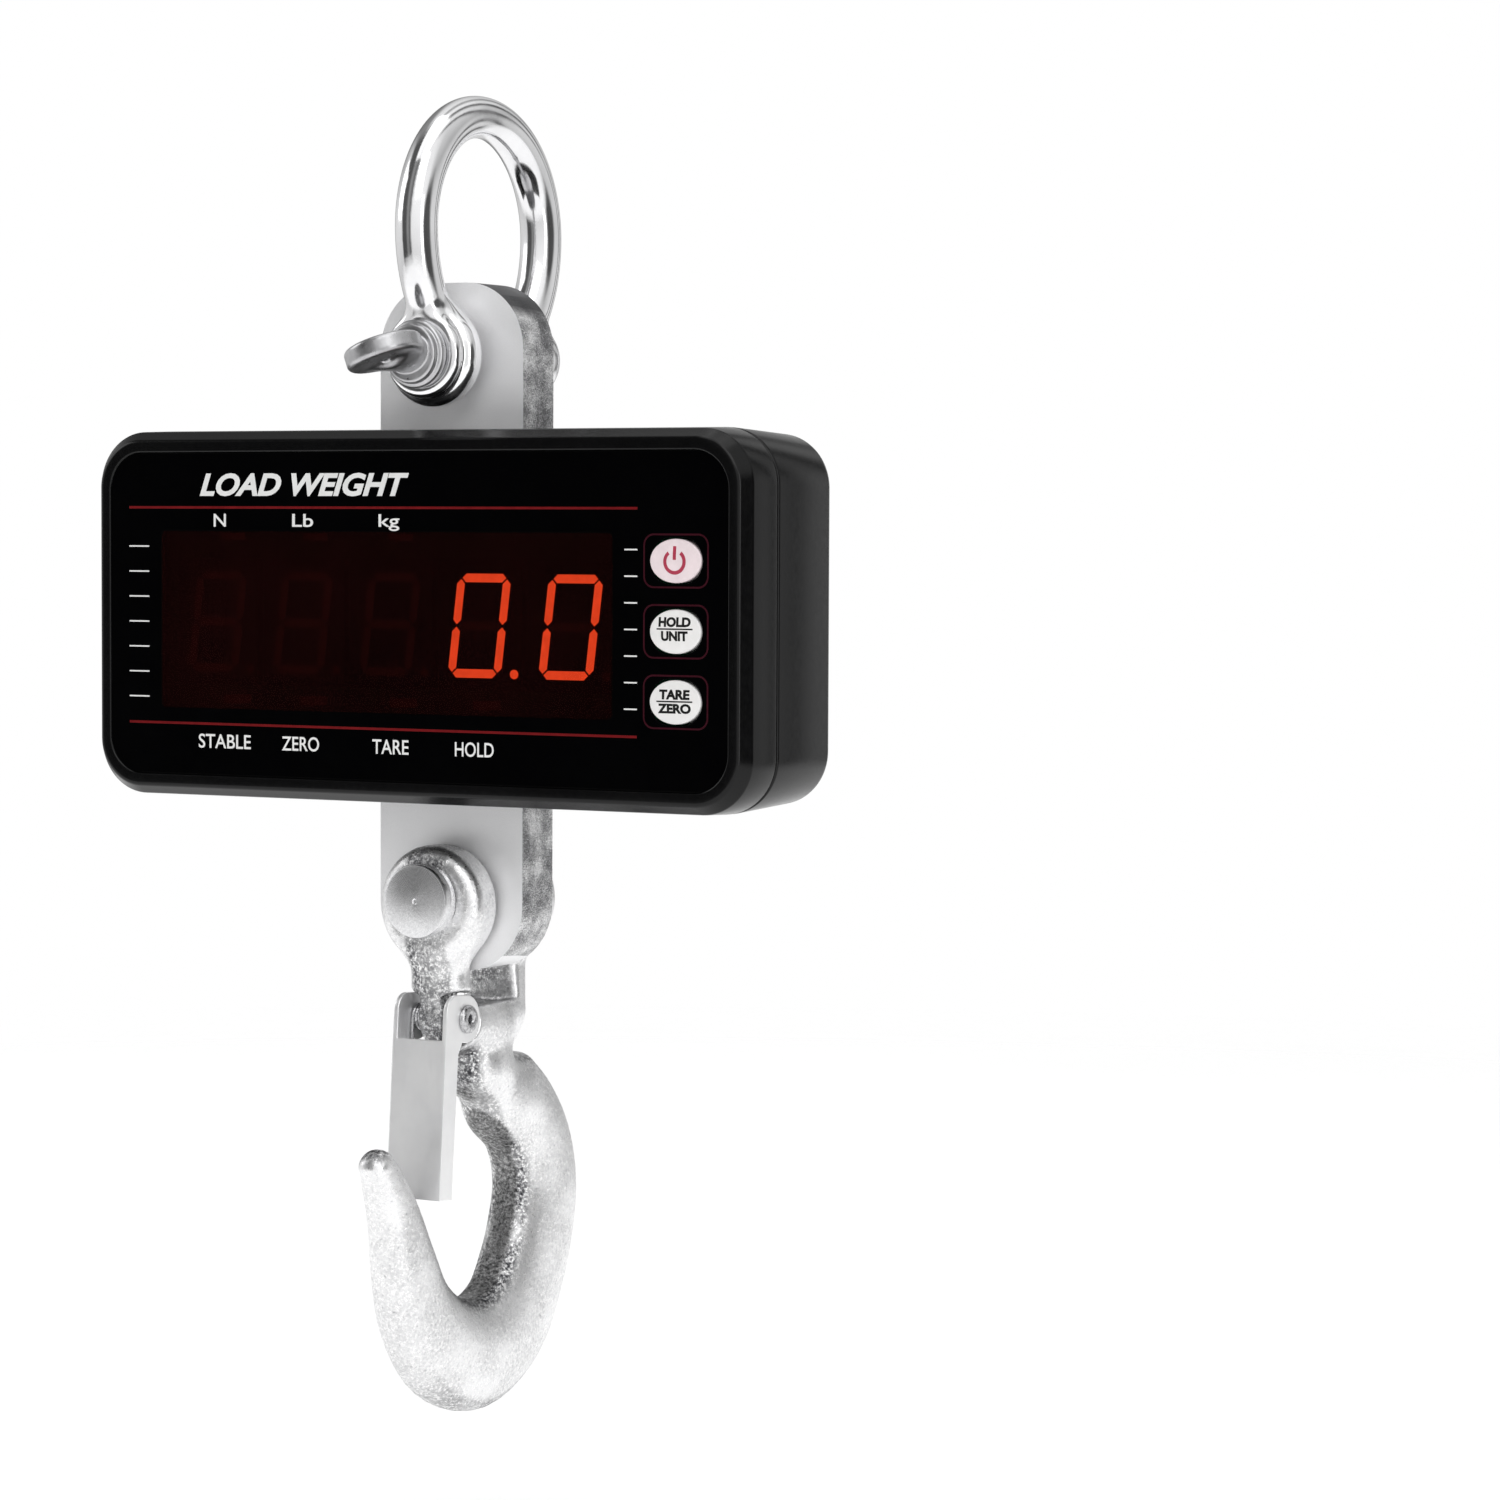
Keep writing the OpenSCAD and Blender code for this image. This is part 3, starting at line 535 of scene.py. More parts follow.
def lit(name, color, strength):
    """A lit LED face whose light varies a little at random."""
    f = Finish(name, color, 0, 0.4, Emission_Strength=strength)
    glow = f.ramp(f.noise(2.5, 2), [(0.3, tuple(c * 0.85 for c in color)), (0.7, color)])
    f.links.new(glow, f.shader.inputs["Emission Color"])
    f.bump(f.noise(0.3, 2), 0.004)
    return f.done()


CHROME = polished_chrome()
PLATED = plated_steel()
ALUMINIUM = satin_aluminium()
ZINC = forged_zinc()
TURNED = turned_steel()
SHEET = stamped_sheet()
SPRING = spring_steel()
PAINT = satin_black_paint()
FILM = panel_film()
WINDOW = smoked_window()
BOARD = circuit_board()
WHITE_PRINT = grained("white_print", (0.80, 0.80, 0.79), 0, 0.45, 0.5, 0.004, 0.05)
RED_PRINT = grained("red_print", (0.15, 0.006, 0.008), 0, 0.4, 0.5, 0.004, 0.15, Specular_IOR_Level=0.1)
FRAME_PRINT = grained("frame_print", (0.035, 0.003, 0.008), 0, 0.4, 0.5, 0.004, 0.15,
                     Specular_IOR_Level=0.1)
BLACK_PRINT = grained("black_print", (0.006, 0.006, 0.006), 0, 0.45, 0.5, 0.004, 0.2,
                     Specular_IOR_Level=0.2)
POWER_PRINT = grained("power_print", (0.42, 0.03, 0.07), 0, 0.45, 0.5, 0.004, 0.1)
KEY_WHITE = grained("key_white", (0.86, 0.85, 0.84), 0, 0.4, 0.5, 0.006, 0.04, Coat_Weight=0.2)
KEY_PINK = grained("key_pink", (0.86, 0.74, 0.76), 0, 0.4, 0.5, 0.006, 0.05, Coat_Weight=0.2)
LED_ON = lit("led_on", (1.0, 0.07, 0.018), 18.0)
# Unlit segments carry a faint painted glow, an emission that stands in for the light they catch.
LED_OFF = grained("led_off", (0.09, 0.014, 0.012), 0, 0.5, 0.4, 0.004, 0.2,
                  Emission_Color=(1, 0.12, 0.08, 1), Emission_Strength=0.11)
LED_BODY = grained("led_body", (0.010, 0.003, 0.003), 0, 0.6, 0.5, 0.01, 0.3)
RUBBER = grained("black_rubber", (0.012, 0.012, 0.012), 0, 0.75, 0.4, 0.02, 0.3)
BLACK_PLASTIC = grained("black_plastic", (0.02, 0.02, 0.021), 0, 0.5, 0.5, 0.012, 0.25)
DARK_STEEL = grained("dark_steel", (0.10, 0.10, 0.11), 1, 0.35, 0.4, 0.008, 0.3)
ZINC_SCREW = grained("zinc_screw", (0.66, 0.66, 0.68), 1, 0.3, 0.4, 0.006, 0.15)
BRASS = grained("brass_standoff", (0.72, 0.50, 0.20), 1, 0.3, 0.4, 0.006, 0.15)
SLEEVE = grained("battery_sleeve", (0.03, 0.10, 0.42), 0, 0.3, 1.2, 0.01, 0.15, Coat_Weight=0.4)
RED_WIRE = grained("red_wire", (0.5, 0.02, 0.02), 0, 0.5, 0.3, 0.006, 0.15)
GAUGE = grained("gauge_foil", (0.75, 0.42, 0.10), 0.4, 0.35, 0.2, 0.004, 0.25)
RECEIVER = grained("receiver_lens", (0.02, 0.008, 0.02), 0, 0.15, 0.8, 0.003, 0.2)
SOLDER_SWITCH = grained("switch_body", (0.10, 0.10, 0.10), 0, 0.5, 0.4, 0.01, 0.25)

CAD_FINISHES = {
    "load_cell": ALUMINIUM, "strain_gauges": GAUGE, "cell_board": BOARD, "cell_wiring": RED_WIRE,
    "seam_gasket": RUBBER, "slot_seals": RUBBER, "case_screws": DARK_STEEL, "cell_screws": DARK_STEEL,
    "panel_overlay": FILM, "display_window": WINDOW, "indicator_leds": LED_OFF, "remote_receiver": RECEIVER,
    "display_board": BOARD, "display_screws": ZINC_SCREW, "key_switches": SOLDER_SWITCH,
    "main_board": BOARD, "board_standoffs": BRASS, "board_screws": ZINC_SCREW, "buzzer": BLACK_PLASTIC,
    "battery_cells": SLEEVE, "battery_holder": BLACK_PLASTIC, "battery_leads": RED_WIRE,
    "charge_jack": BLACK_PLASTIC, "jack_plug": RUBBER, "cotter_pin": SPRING, "latch_plate": SHEET,
    "latch_spring": SPRING,
}


def finish_cad_nodes():
    for name, material in CAD_FINISHES.items():
        for slot in frame["nodes"][name].material_slots:
            slot.material = material
    bevel(frame["nodes"]["load_cell"], 0.5)
    bevel(frame["nodes"]["latch_plate"], 0.3)
    bevel(frame["nodes"]["panel_overlay"], 0.12)


def show_as(obj, material, body, slot, *nodes):
    """Gives a piece its material and body, and lets it stand for CAD nodes. slot is not used."""
    if material is not None:
        obj.data.materials.clear()
        obj.data.materials.append(material)
    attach(obj, body)
    if nodes:
        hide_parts(*nodes)
    return obj


# ---------- shackle ----------

BOW_LOW, BOW_HIGH = box("shackle_bow")
BAR_R = BOW_HIGH[2] / 2
BOW_R = BOW_HIGH[1] - BAR_R
BOW_Z = -(BOW_R - BAR_R)
EYE_Y = 25.5
LEG_R = 40
LEG_SWEEP = math.radians(38)
NEAR_EYE_R = 14.6
NEAR_CORE_R = 12.3
FAR_EYE_R = 11
BORE_CUT_R = BORE_R + 0.1


def bow_field(p):
    """The bow: a round bar over the crown, drawn in along both legs, and run into two eyes."""
    x, y, z = p[:, 0], p[:, 1], p[:, 2] - BOW_Z
    crown = np.hypot(np.abs(np.hypot(y, z) - BOW_R), x)
    crown = np.where(z > 0, crown, 1e3)
    leg_y = np.abs(y) - (BOW_R - LEG_R)
    turn = np.clip(np.arctan2(z, leg_y), -LEG_SWEEP, 0)
    leg = np.hypot(np.hypot(leg_y - LEG_R * np.cos(turn), z - LEG_R * np.sin(turn)), x)
    bar = np.minimum(crown, leg) - BAR_R
    radial = np.hypot(x, p[:, 2] - PIN[2])
    near = disc_field(radial, y + EYE_Y - 1.8, NEAR_EYE_R, 8.4, 3.4)
    near = smooth_min(near, disc_field(radial, y + EYE_Y, NEAR_CORE_R, 12, 2.2), 0.5)
    far = disc_field(radial, y - EYE_Y + 1.5, FAR_EYE_R, 9, 3.6)
    body = smooth_min(bar, smooth_min(near, far, 0.1), 4.5)
    return smooth_max(body, BORE_CUT_R - radial, 0.9)


def make_bow():
    mesh = field_mesh("bow", bow_field, BOW_LOW - 1.5, BOW_HIGH + 1.5, 0.6)
    show_as(add_object("bow", mesh), CHROME, "shackle", "chrome_shackle", "shackle_bow")


PIN_LOW, PIN_HIGH = box("shackle_pin")
COLLAR_Y = -EYE_Y - BAR_R - 0.3
TAB_Y = PIN_LOW[1] + 11
TAB_ROLL = math.radians(20)
TAB_R = 11
TAB_T = 5.4
TAB_HOLE_R = 1.5
COLLAR_R = 9.6
STEP_R = 8.3
NECK_R = 4.9
THREAD_START = 20
THREAD_PITCH = 2.0
THREAD_DEPTH = 0.7


def pin_field(p):
    """The screw pin: threaded shaft, stepped collar, waisted neck and a flat tab with a hole."""
    x, y, z = p[:, 0], p[:, 1], p[:, 2] - PIN[2]
    radial = np.hypot(x, z)
    around = np.arctan2(z, x) / (2 * math.pi)
    groove = 0.5 + 0.5 * np.cos(2 * math.pi * (y / THREAD_PITCH - around))
    threaded = smooth_step(y, THREAD_START - 0.5, THREAD_START + 0.5)
    shaft = disc_field(radial, y - (PIN_HIGH[1] + COLLAR_Y) / 2, PIN_R, PIN_HIGH[1] - COLLAR_Y, 0.8)
    shaft = shaft + THREAD_DEPTH * groove * threaded
    collar = disc_field(radial, y - COLLAR_Y + 1.5, COLLAR_R, 3, 1.0)
    step = disc_field(radial, y - COLLAR_Y + 2.9, STEP_R, 4.2, 0.9)
    across = x * math.cos(TAB_ROLL) + z * math.sin(TAB_ROLL)
    up = -x * math.sin(TAB_ROLL) + z * math.cos(TAB_ROLL)
    tab = disc_field(np.hypot(across, y - TAB_Y), up, TAB_R, TAB_T, 1.3)
    neck = np.hypot(across * 0.86, up * 1.1) - NECK_R - smooth_step(y, TAB_Y + 4, COLLAR_Y)
    neck = smooth_max(neck, TAB_Y + 2 - y, 2)
    neck = smooth_max(neck, y - COLLAR_Y, 1)
    head = smooth_min(tab, neck, 3)
    hole = np.hypot(across, y - TAB_Y + 1) - TAB_HOLE_R
    head = smooth_max(head, -hole, 0.3)
    return smooth_min(shaft, smooth_min(smooth_min(collar, step, 0.3), head, 0.8), 0.2)


def make_pin():
    mesh = field_mesh("screw_pin", pin_field, PIN_LOW - 1.3, PIN_HIGH + 1.3, 0.42)
    show_as(add_object("screw_pin", mesh), PLATED, "shackle_pin", "chrome_pin", "shackle_pin")


# ---------- hook ----------

# The hook's middle line from its neck to its point: [forward-back, height, half depth, half thickness],
# measured from the clevis pin.
HOOK_LINE = np.array([
    [19, -59, 13.4, 9.6], [27, -66.5, 14.4, 9.6], [33.5, -76.5, 15.5, 9.6], [36, -88, 16.3, 9.8],
    [34.2, -99, 16.6, 10], [29.5, -111, 16.6, 10.2], [19.5, -125.5, 17, 10.4], [2.5, -132.6, 16.8, 10.4],
    [-15, -128.5, 15.6, 10], [-27.5, -117, 13.2, 9.2], [-33.9, -102.5, 10.6, 8.4],
    [-38.9, -88, 7.8, 7.2], [-44.5, -77, 6, 5.8], [-47.5, -72.5, 5, 5],
])
LINE_STEPS = 5
EAR_GAP = 11.0
EAR_T = 11.8
EAR_R = 17.0
EAR_DROP = 1.6
EAR_ROUND = 4.6
CROTCH_R = 31.5
LUG = RIVET - CLEVIS
NECK_TOP = (0, 4, -36)
NECK_FOOT = (0, 5, -50)
ROOT_END = (0, 17, -62)
YOKE_R = 8.2
YOKE_HALF = 12
YOKE_Z = -37
LUG_R = 5.2
LUG_HALF = 3.4
POCKET_HALF = 3.6
POCKET_R = 7.9
RIVET_HOLE_R = 2.55
SECTION_POWER = 2.25
# Rounding adds a little all over the hook, and this takes it off again.
HOOK_SKIN = 0.07


def smooth_line(control, steps):
    """A Catmull-Rom curve through the control rows."""
    rows = []
    padded = np.vstack([2 * control[0] - control[1], control, 2 * control[-1] - control[-2]])
    for a, b, c, d in zip(padded, padded[1:], padded[2:], padded[3:]):
        for t in np.arange(steps) / steps:
            rows.append(0.5 * (2 * b + (c - a) * t + (2 * a - 5 * b + 4 * c - d) * t ** 2
                               + (3 * b - a - 3 * c + d) * t ** 3))
    return np.array(rows + [control[-1]])


LINE = smooth_line(HOOK_LINE, LINE_STEPS)


def hook_bar_field(x, y, z):
    """The bowl and point: an oval section along LINE, flattened along the inside of the bowl.

    Also gives how far a place is on the flat band inside the bowl, where shade is painted, and how far it is
    rubbed smooth.
    """
    best = np.full(len(x), 1e9)
    depth, thick, inward, along, end = (np.zeros(len(x)) for _ in range(5))
    last = len(LINE) - 2
    for i, (a, b) in enumerate(zip(LINE, LINE[1:])):
        length = np.hypot(*(b[:2] - a[:2]))
        dy, dz = (b[:2] - a[:2]) / length
        py, pz = y - a[0], z - a[1]
        run = py * dy + pz * dz
        on = np.clip(run, 0, length)
        gap = np.hypot(py - on * dy, pz - on * dz)
        near = gap < best
        best = np.where(near, gap, best)
        share = on / length
        side = py * dz - pz * dy
        over = np.minimum(run, 0) if i == 0 else np.maximum(run - length, 0) if i == last else 0 * run
        depth = np.where(near, a[2] + (b[2] - a[2]) * share, depth)
        thick = np.where(near, a[3] + (b[3] - a[3]) * share, thick)
        along = np.where(near, (i + share) / (last + 1), along)
        end = np.where(near, over, end)
        inward = np.where(near, np.where(over == 0, np.copysign(gap, side), side), inward)
    flat = 1 - smooth_step(along, 0.48, 0.66)
    deep = depth * np.where(inward > 0, 1 + 0.028 * flat, 1.0)
    oval = np.abs(inward / deep) ** SECTION_POWER + np.abs(x / thick) ** SECTION_POWER
    oval = oval ** (1 / SECTION_POWER)
    reach = 0.9 * np.minimum(depth, thick)
    whole = (np.hypot(oval, end / reach) - 1) * reach
    # band: where painted shade goes on the flat inside of the bowl
    band = flat * smooth_step(inward, depth - 0.9, depth - 0.35)
    flank = smooth_step(np.abs(x) / thick, 0.5, 0.8)
    nose = smooth_step(along, 0.5, 0.7) * smooth_step(-inward / depth, 0.1, 0.6)
    rubbed = np.maximum(flank, nose)
    return smooth_max(whole, inward - depth, 0.6), band, rubbed


def ear_field(x, y, z):
    """Both ears of the fork, rounded on the outside, and the arms down to the yoke."""
    side = np.abs(y)
    radial = np.hypot(x, z + EAR_DROP)
    ear = disc_field(radial, side - EAR_GAP - EAR_T / 2 + 1.2, EAR_R, EAR_T + 2.4, EAR_ROUND)
    ear = smooth_max(ear, EAR_GAP - side, 0.8)
    q = np.stack([x, side, z], 1)
    arm = capsule_field(q, (0, EAR_GAP + 5.6, -10), (0, EAR_GAP + 2.4, -33), 6.6, 8.2, (1.2, 0.9, 1))
    return smooth_min(ear, arm, 5)


def hook_field(p):
    """The whole hook: fork, yoke, neck, bowl and point, with the slot, the latch's pocket and the holes."""
    x, y, z = p[:, 0], p[:, 1] - CLEVIS[1], p[:, 2] - CLEVIS[2]
    q = np.stack([x, y, z], 1)
    bar, _, _ = hook_bar_field(x, y, z)
    neck = capsule_field(q, NECK_TOP, NECK_FOOT, 9.3, 9.6, (1, 1.12, 1))
    root = capsule_field(q, NECK_FOOT, ROOT_END, 9.4, 9.6)
    yoke_ends = (0, -YOKE_HALF, YOKE_Z), (0, YOKE_HALF, YOKE_Z)
    yoke = capsule_field(q, *yoke_ends, YOKE_R, YOKE_R, (1.12, 0.9, 1))
    body = smooth_min(smooth_min(neck, root, 3), bar, 6)
    body = smooth_min(body, yoke, 3.5)
    body = smooth_min(body, ear_field(x, y, z), 2.5)
    radial = np.hypot(x, z)
    crotch = smooth_max(radial - CROTCH_R, np.abs(y) - EAR_GAP, 1.5)
    lug_r = np.hypot(y - LUG[1], z - LUG[2])
    lug = smooth_max(lug_r - LUG_R, np.abs(x) - LUG_HALF, 1.4)
    pocket_r = np.hypot(y - LUG[1] + 0.5, z - LUG[2])
    pocket = smooth_max(pocket_r - POCKET_R, POCKET_HALF - np.abs(x), 0.6)
    body = smooth_max(body, -crotch, 1.2)
    body = smooth_max(body, -pocket, 1.0)
    body = smooth_min(body, lug, 2.2)
    body = smooth_max(body, RIVET_HOLE_R - lug_r, 0.3)
    return smooth_max(body, BORE_CUT_R - radial, 0.9)


def make_hook():
    low, high = box("hook_body")
    mesh = field_mesh("forged_hook", lambda p: hook_field(p) + HOOK_SKIN, low - 2, high + 2, 0.75)
    points = np.empty(len(mesh.vertices) * 3)
    mesh.vertices.foreach_get("co", points)
    x, y, z = (points.reshape(-1, 3) / MM - CLEVIS).T
    _, band, rubbed = hook_bar_field(x, y, z)
    # Stores where shade is painted inside the bowl, and where the hook is rubbed smooth.
    mesh.attributes.new("painted_shade_band", "FLOAT", "POINT").data.foreach_set("value", band)
    mesh.attributes.new("rubbed", "FLOAT", "POINT").data.foreach_set("value", rubbed)
    show_as(add_object("forged_hook", mesh), ZINC, "hook", "forged_zinc", "hook_body")


HEAD_R = 10.5
HEAD_T = 5.5
COTTER_HOLE_R = 1.7
COTTER_FROM_END = 3.6


def make_clevis_pin():
    """The clevis pin: a turned head with a chamfered rim and a centre mark, and a drilled tail."""
    low, high = box("clevis_pin")
    profile = [(0, 0.25), (0.5, 0.25), (0.9, 0), (HEAD_R - 0.9, 0), (HEAD_R - 0.25, 0.22), (HEAD_R, 0.8),
               (HEAD_R, HEAD_T - 0.6), (HEAD_R - 0.3, HEAD_T - 0.1), (HEAD_R - 0.8, HEAD_T), (PIN_R, HEAD_T)]
    end = high[1] - low[1]
    profile += [(PIN_R, end - 1), (PIN_R - 1, end), (0, end)]
    pin = lathe("turned_pin", profile, (0, low[1], CLEVIS[2]), "Y", 160, 30)
    hole = rod("hole", COTTER_HOLE_R, 0, 24, 0, 0)
    hole.data.transform(Matrix.Rotation(math.radians(90), 4, "Z"))
    hole.data.transform(Matrix.Translation(Vector((12, high[1] - COTTER_FROM_END, CLEVIS[2])) * MM))
    cut(pin, [hole])
    pin.data.set_sharp_from_angle(angle=math.radians(30))
    show_as(pin, TURNED, "hook", "turned_steel", "clevis_pin")


def make_rivet():
    """The latch rivet: a tube rolled over at both ends."""
    low, high = box("latch_rivet")
    half = high[0]
    roll = [(1.25, 0), (1.25, half - 1.0), (1.45, half - 0.35), (2.0, half - 0.02), (2.7, half),
            (3.4, half - 0.2), (3.95, half - 0.75), (4.1, half - 1.2), (4.0, half - 1.6), (2.5, half - 1.6)]
    profile = roll + [(r, -a) for r, a in reversed(roll)]
    rivet = lathe("rolled_rivet", profile, RIVET, "X", 64, 50)
    show_as(rivet, SPRING, "hook", "turned_steel", "latch_rivet")


# ---------- housing ----------

FRONT_LOW, FRONT_HIGH = box("front_shell")
REAR_LOW, REAR_HIGH = box("rear_shell")
PANEL_LOW, PANEL_HIGH = box("panel_overlay")
WINDOW_LOW, WINDOW_HIGH = box("display_window")
CASE_W = FRONT_HIGH[0] - FRONT_LOW[0]
CASE_H = FRONT_HIGH[2] - FRONT_LOW[2]
CASE_Z = (FRONT_HIGH[2] + FRONT_LOW[2]) / 2
FACE_Y = PANEL_LOW[1]
KEYS = ("key_power", "key_hold_unit", "key_tare_zero")
CORNER_R = 16
KEY_HOLE_W = 19.2
KEY_HOLE_H = 15.2
WINDOW_GAP = 0.2
JACK_SEAT_R = 7
JACK_WELL_R = 5.2
JACK_BOSS_R = 8.8
JACK_FLOOR = 3.2
SEAT_DEPTH = 4
BOSS_DEPTH = 6
# For each node of screws: how far they stand inside its box, and the radius of their seats and bosses.
SCREW_SEATS = {"case_screws": (3.6, 4, 5.2), "cell_screws": (4.4, 4.8, 6.4)}


def case_ring(y, inset):
    """The housing's outline at depth y, drawn in from the largest outline by inset."""
    return y, round_rect(CASE_W - 2 * inset, CASE_H - 2 * inset, CORNER_R - 0.8 * inset)


def arc_rings(y, inset, radius, start, end, steps=6):
    """Rings round a quarter-turn edge whose centre is at depth y and inset."""
    return [case_ring(y - radius * math.sin(math.radians(a)), inset - radius * math.cos(math.radians(a)))
            for a in np.linspace(start, end, steps)]


def make_front_shell():
    """The bezel: a rounded rim round the panel, a sloped side, and the hollow behind."""
    front, seam = FRONT_LOW[1], FRONT_HIGH[1]
    rings = [case_ring(PANEL_HIGH[1], 6.6), case_ring(front + 0.5, 6.45)]
    rings += arc_rings(front + 0.5, 5.9, 0.5, 160, 90)
    rings += arc_rings(front + 1.5, 3.9, 1.5, 90, 25)
    rings += arc_rings(front + 4.3, 1.9, 1.5, 40, 8, 4)
    rings += arc_rings(seam - 0.9, 0.8, 0.8, 5, -80)
    rings += [case_ring(seam, 3), case_ring(PANEL_HIGH[1] + 2.6, 4)]
    shell = loft("front_bezel", rings, (0, CASE_Z))
    x0, z0 = WINDOW_LOW[0] - WINDOW_GAP, WINDOW_LOW[2] - WINDOW_GAP
    width, height = WINDOW_HIGH[0] - x0 + WINDOW_GAP, WINDOW_HIGH[2] - z0 + WINDOW_GAP
    opening = plate("opening", round_rect(width, height, 2, 6), PANEL_HIGH[1] - 5, PANEL_HIGH[1] + 9,
                    (x0 + width / 2, z0 + height / 2))
    cutters = [opening]
    for key in KEYS:
        low, high = box(key)
        middle = (low + high) / 2
        cutters.append(plate("key_hole", round_rect(KEY_HOLE_W, KEY_HOLE_H, 7.5, 12), PANEL_HIGH[1] - 5,
                             PANEL_HIGH[1] + 9, (middle[0], middle[2])))
    cut(shell, cutters)
    shell.data.set_sharp_from_angle(angle=math.radians(40))
    show_as(shell, PAINT, "scale_body", "black_paint", "front_shell")


def screw_seats():
    """Every screw seat in the rear half, as (x, z, seat radius, boss radius)."""
    seats = []
    for node, (inset, seat_r, boss_r) in SCREW_SEATS.items():
        low, high = box(node)
        xs = (low[0] + inset, high[0] - inset) if node == "case_screws" else (0,)
        seats += [(x, z, seat_r, boss_r) for x in xs for z in (low[2] + inset, high[2] - inset)]
    return seats


def make_rear_shell():
    """The rear half: slots for the load cell, sunk screw seats and the seat of the charging jack."""
    seam, back = REAR_LOW[1], REAR_HIGH[1]
    rings = [case_ring(seam, 3.0)] + arc_rings(seam + 0.9, 0.8, 0.8, 80, 0)
    rings += arc_rings(back - 4.5, 1.2 + 4.5, 4.5, 0, -90, 10)
    shell = loft("rear_case", rings, (0, CASE_Z))
    hollow = loft("hollow", [case_ring(seam - 2, 3.0), case_ring(back - 3, 4.7)], (0, CASE_Z))
    jack_low, jack_high = box("charge_jack")
    jack = (jack_low + jack_high) / 2
    cell_low, cell_high = box("load_cell")
    slot_y = (cell_low[1] + cell_high[1]) / 2
    slot = plate("slot", round_rect(51.2, CASE_H + 10, 1, 4), slot_y - 9.7, slot_y + 9.7, (0, CASE_Z))
    cutters = [hollow, slot, rod("jack_seat", JACK_SEAT_R, back - JACK_FLOOR, back + 1, jack[0], jack[2]),
               rod("notch", 3.4, back - 1.8, back + 1, jack[0] + 6.5, jack[2])]
    for x, z, seat_r, _ in screw_seats():
        cutters.append(rod("screw_seat", seat_r, back - SEAT_DEPTH, back + 1, x, z))
    cut(shell, cutters)
    shell.data.set_sharp_from_angle(angle=math.radians(35))
    parts = [shell]
    for x, z, seat_r, boss_r in screw_seats():
        boss = rod("boss", boss_r, back - BOSS_DEPTH, back - 1, x, z)
        cut(boss, [rod("well", seat_r, back - SEAT_DEPTH, back, x, z)])
        parts.append(boss)
    boss = rod("jack_boss", JACK_BOSS_R, back - BOSS_DEPTH, back - 1, jack[0], jack[2])
    cut(boss, [rod("jack_bore", JACK_SEAT_R, back - JACK_FLOOR, back, jack[0], jack[2]),
               rod("jack_well", JACK_WELL_R, back - 8, back, jack[0], jack[2])])
    parts.append(boss)
    case = join("rear_case", parts)
    show_as(case, PAINT, "scale_body", "black_paint", "rear_shell")


# ---------- keys and printing ----------

PRINT_Y = FACE_Y - 0.02
PRINT_T = 0.03
LEGEND_REACH = 6
CAP_CROWN = 0.55
CAP_EDGE = 0.5
KEY_W = 16
KEY_H = 12
# Printed words: the text, then its left, right, lower and upper edge.
UNIT_WORDS = (("N", -66.4, -62.1, -111.0, -107.3), ("Lb", -39.1, -31.9, -111.0, -107.3),
              ("kg", -9.7, -2.7, -112.0, -107.3))
STATE_WORDS = tuple((text, x0, x1, -174.6, -170.5) for text, x0, x1 in (
    ("STABLE", -71.8, -53.5), ("ZERO", -42.7, -29.9), ("TARE", -11.8, 0.4), ("HOLD", 15.8, 28.6)))
TITLE = ("LOAD WEIGHT", -71.3, 0.5, -102.3, -95.7)
LINE_X = (-96.4, 74.5)
LINE_Z = (-105.5, -167.6)
LINE_HALF = 0.35
TICK_COUNT = 7
TICK_TOP = -116.7
TICK_STEP = 7.234
TICK_HALF = 0.2
TICK_LENGTHS = (7.1, 4.1)


def ring_plate(name, outer, inner, y0, y1, centre=(0, 0)):
    """A flat frame between two outlines of equal point count."""
    loops = [(y0, outer), (y1, outer), (y1, inner), (y0, inner)]
    points = [(centre[0] + x, y, centre[1] + z) for y, outline in loops for x, z in outline]
    n = len(outer)
    faces = [[i * n + k, i * n + (k + 1) % n, (i + 1) % 4 * n + (k + 1) % n, (i + 1) % 4 * n + k]
             for i in range(4) for k in range(n)]
    return add_object(name, mesh_from(name, points, faces))


def bar_print(x0, x1, z0, z1, y=PRINT_Y):
    """A printed rectangle."""
    outline = [(x0, z0), (x1, z0), (x1, z1), (x0, z1)]
    return plate("bar", outline, y, y + PRINT_T)


def word(text, x0, x1, z0, z1, shear=0.0, weight=0.0, y=PRINT_Y):
    """Printed letters that fill the given rectangle, facing the front."""
    curve = bpy.data.curves.new("word", "FONT")
    curve.body = text
    curve.shear = shear
    curve.offset = weight
    curve.resolution_u = 4
    curve.extrude = 0.5
    holder = bpy.data.objects.new("word", curve)
    bpy.context.scene.collection.objects.link(holder)
    bpy.context.view_layer.update()
    mesh = bpy.data.meshes.new_from_object(holder.evaluated_get(bpy.context.evaluated_depsgraph_get()))
    bpy.data.objects.remove(holder)
    bpy.data.curves.remove(curve)
    points = np.empty(len(mesh.vertices) * 3)
    mesh.vertices.foreach_get("co", points)
    points = points.reshape(-1, 3)
    low, high = points.min(0), points.max(0)
    share = (points - low) / (high - low)
    placed = np.stack([x0 + (x1 - x0) * share[:, 0], y + PRINT_T * (1 - share[:, 2]),
                       z0 + (z1 - z0) * share[:, 1]], 1)
    mesh.vertices.foreach_set("co", (placed * MM).ravel())
    mesh.update()
    return add_object("word", mesh)


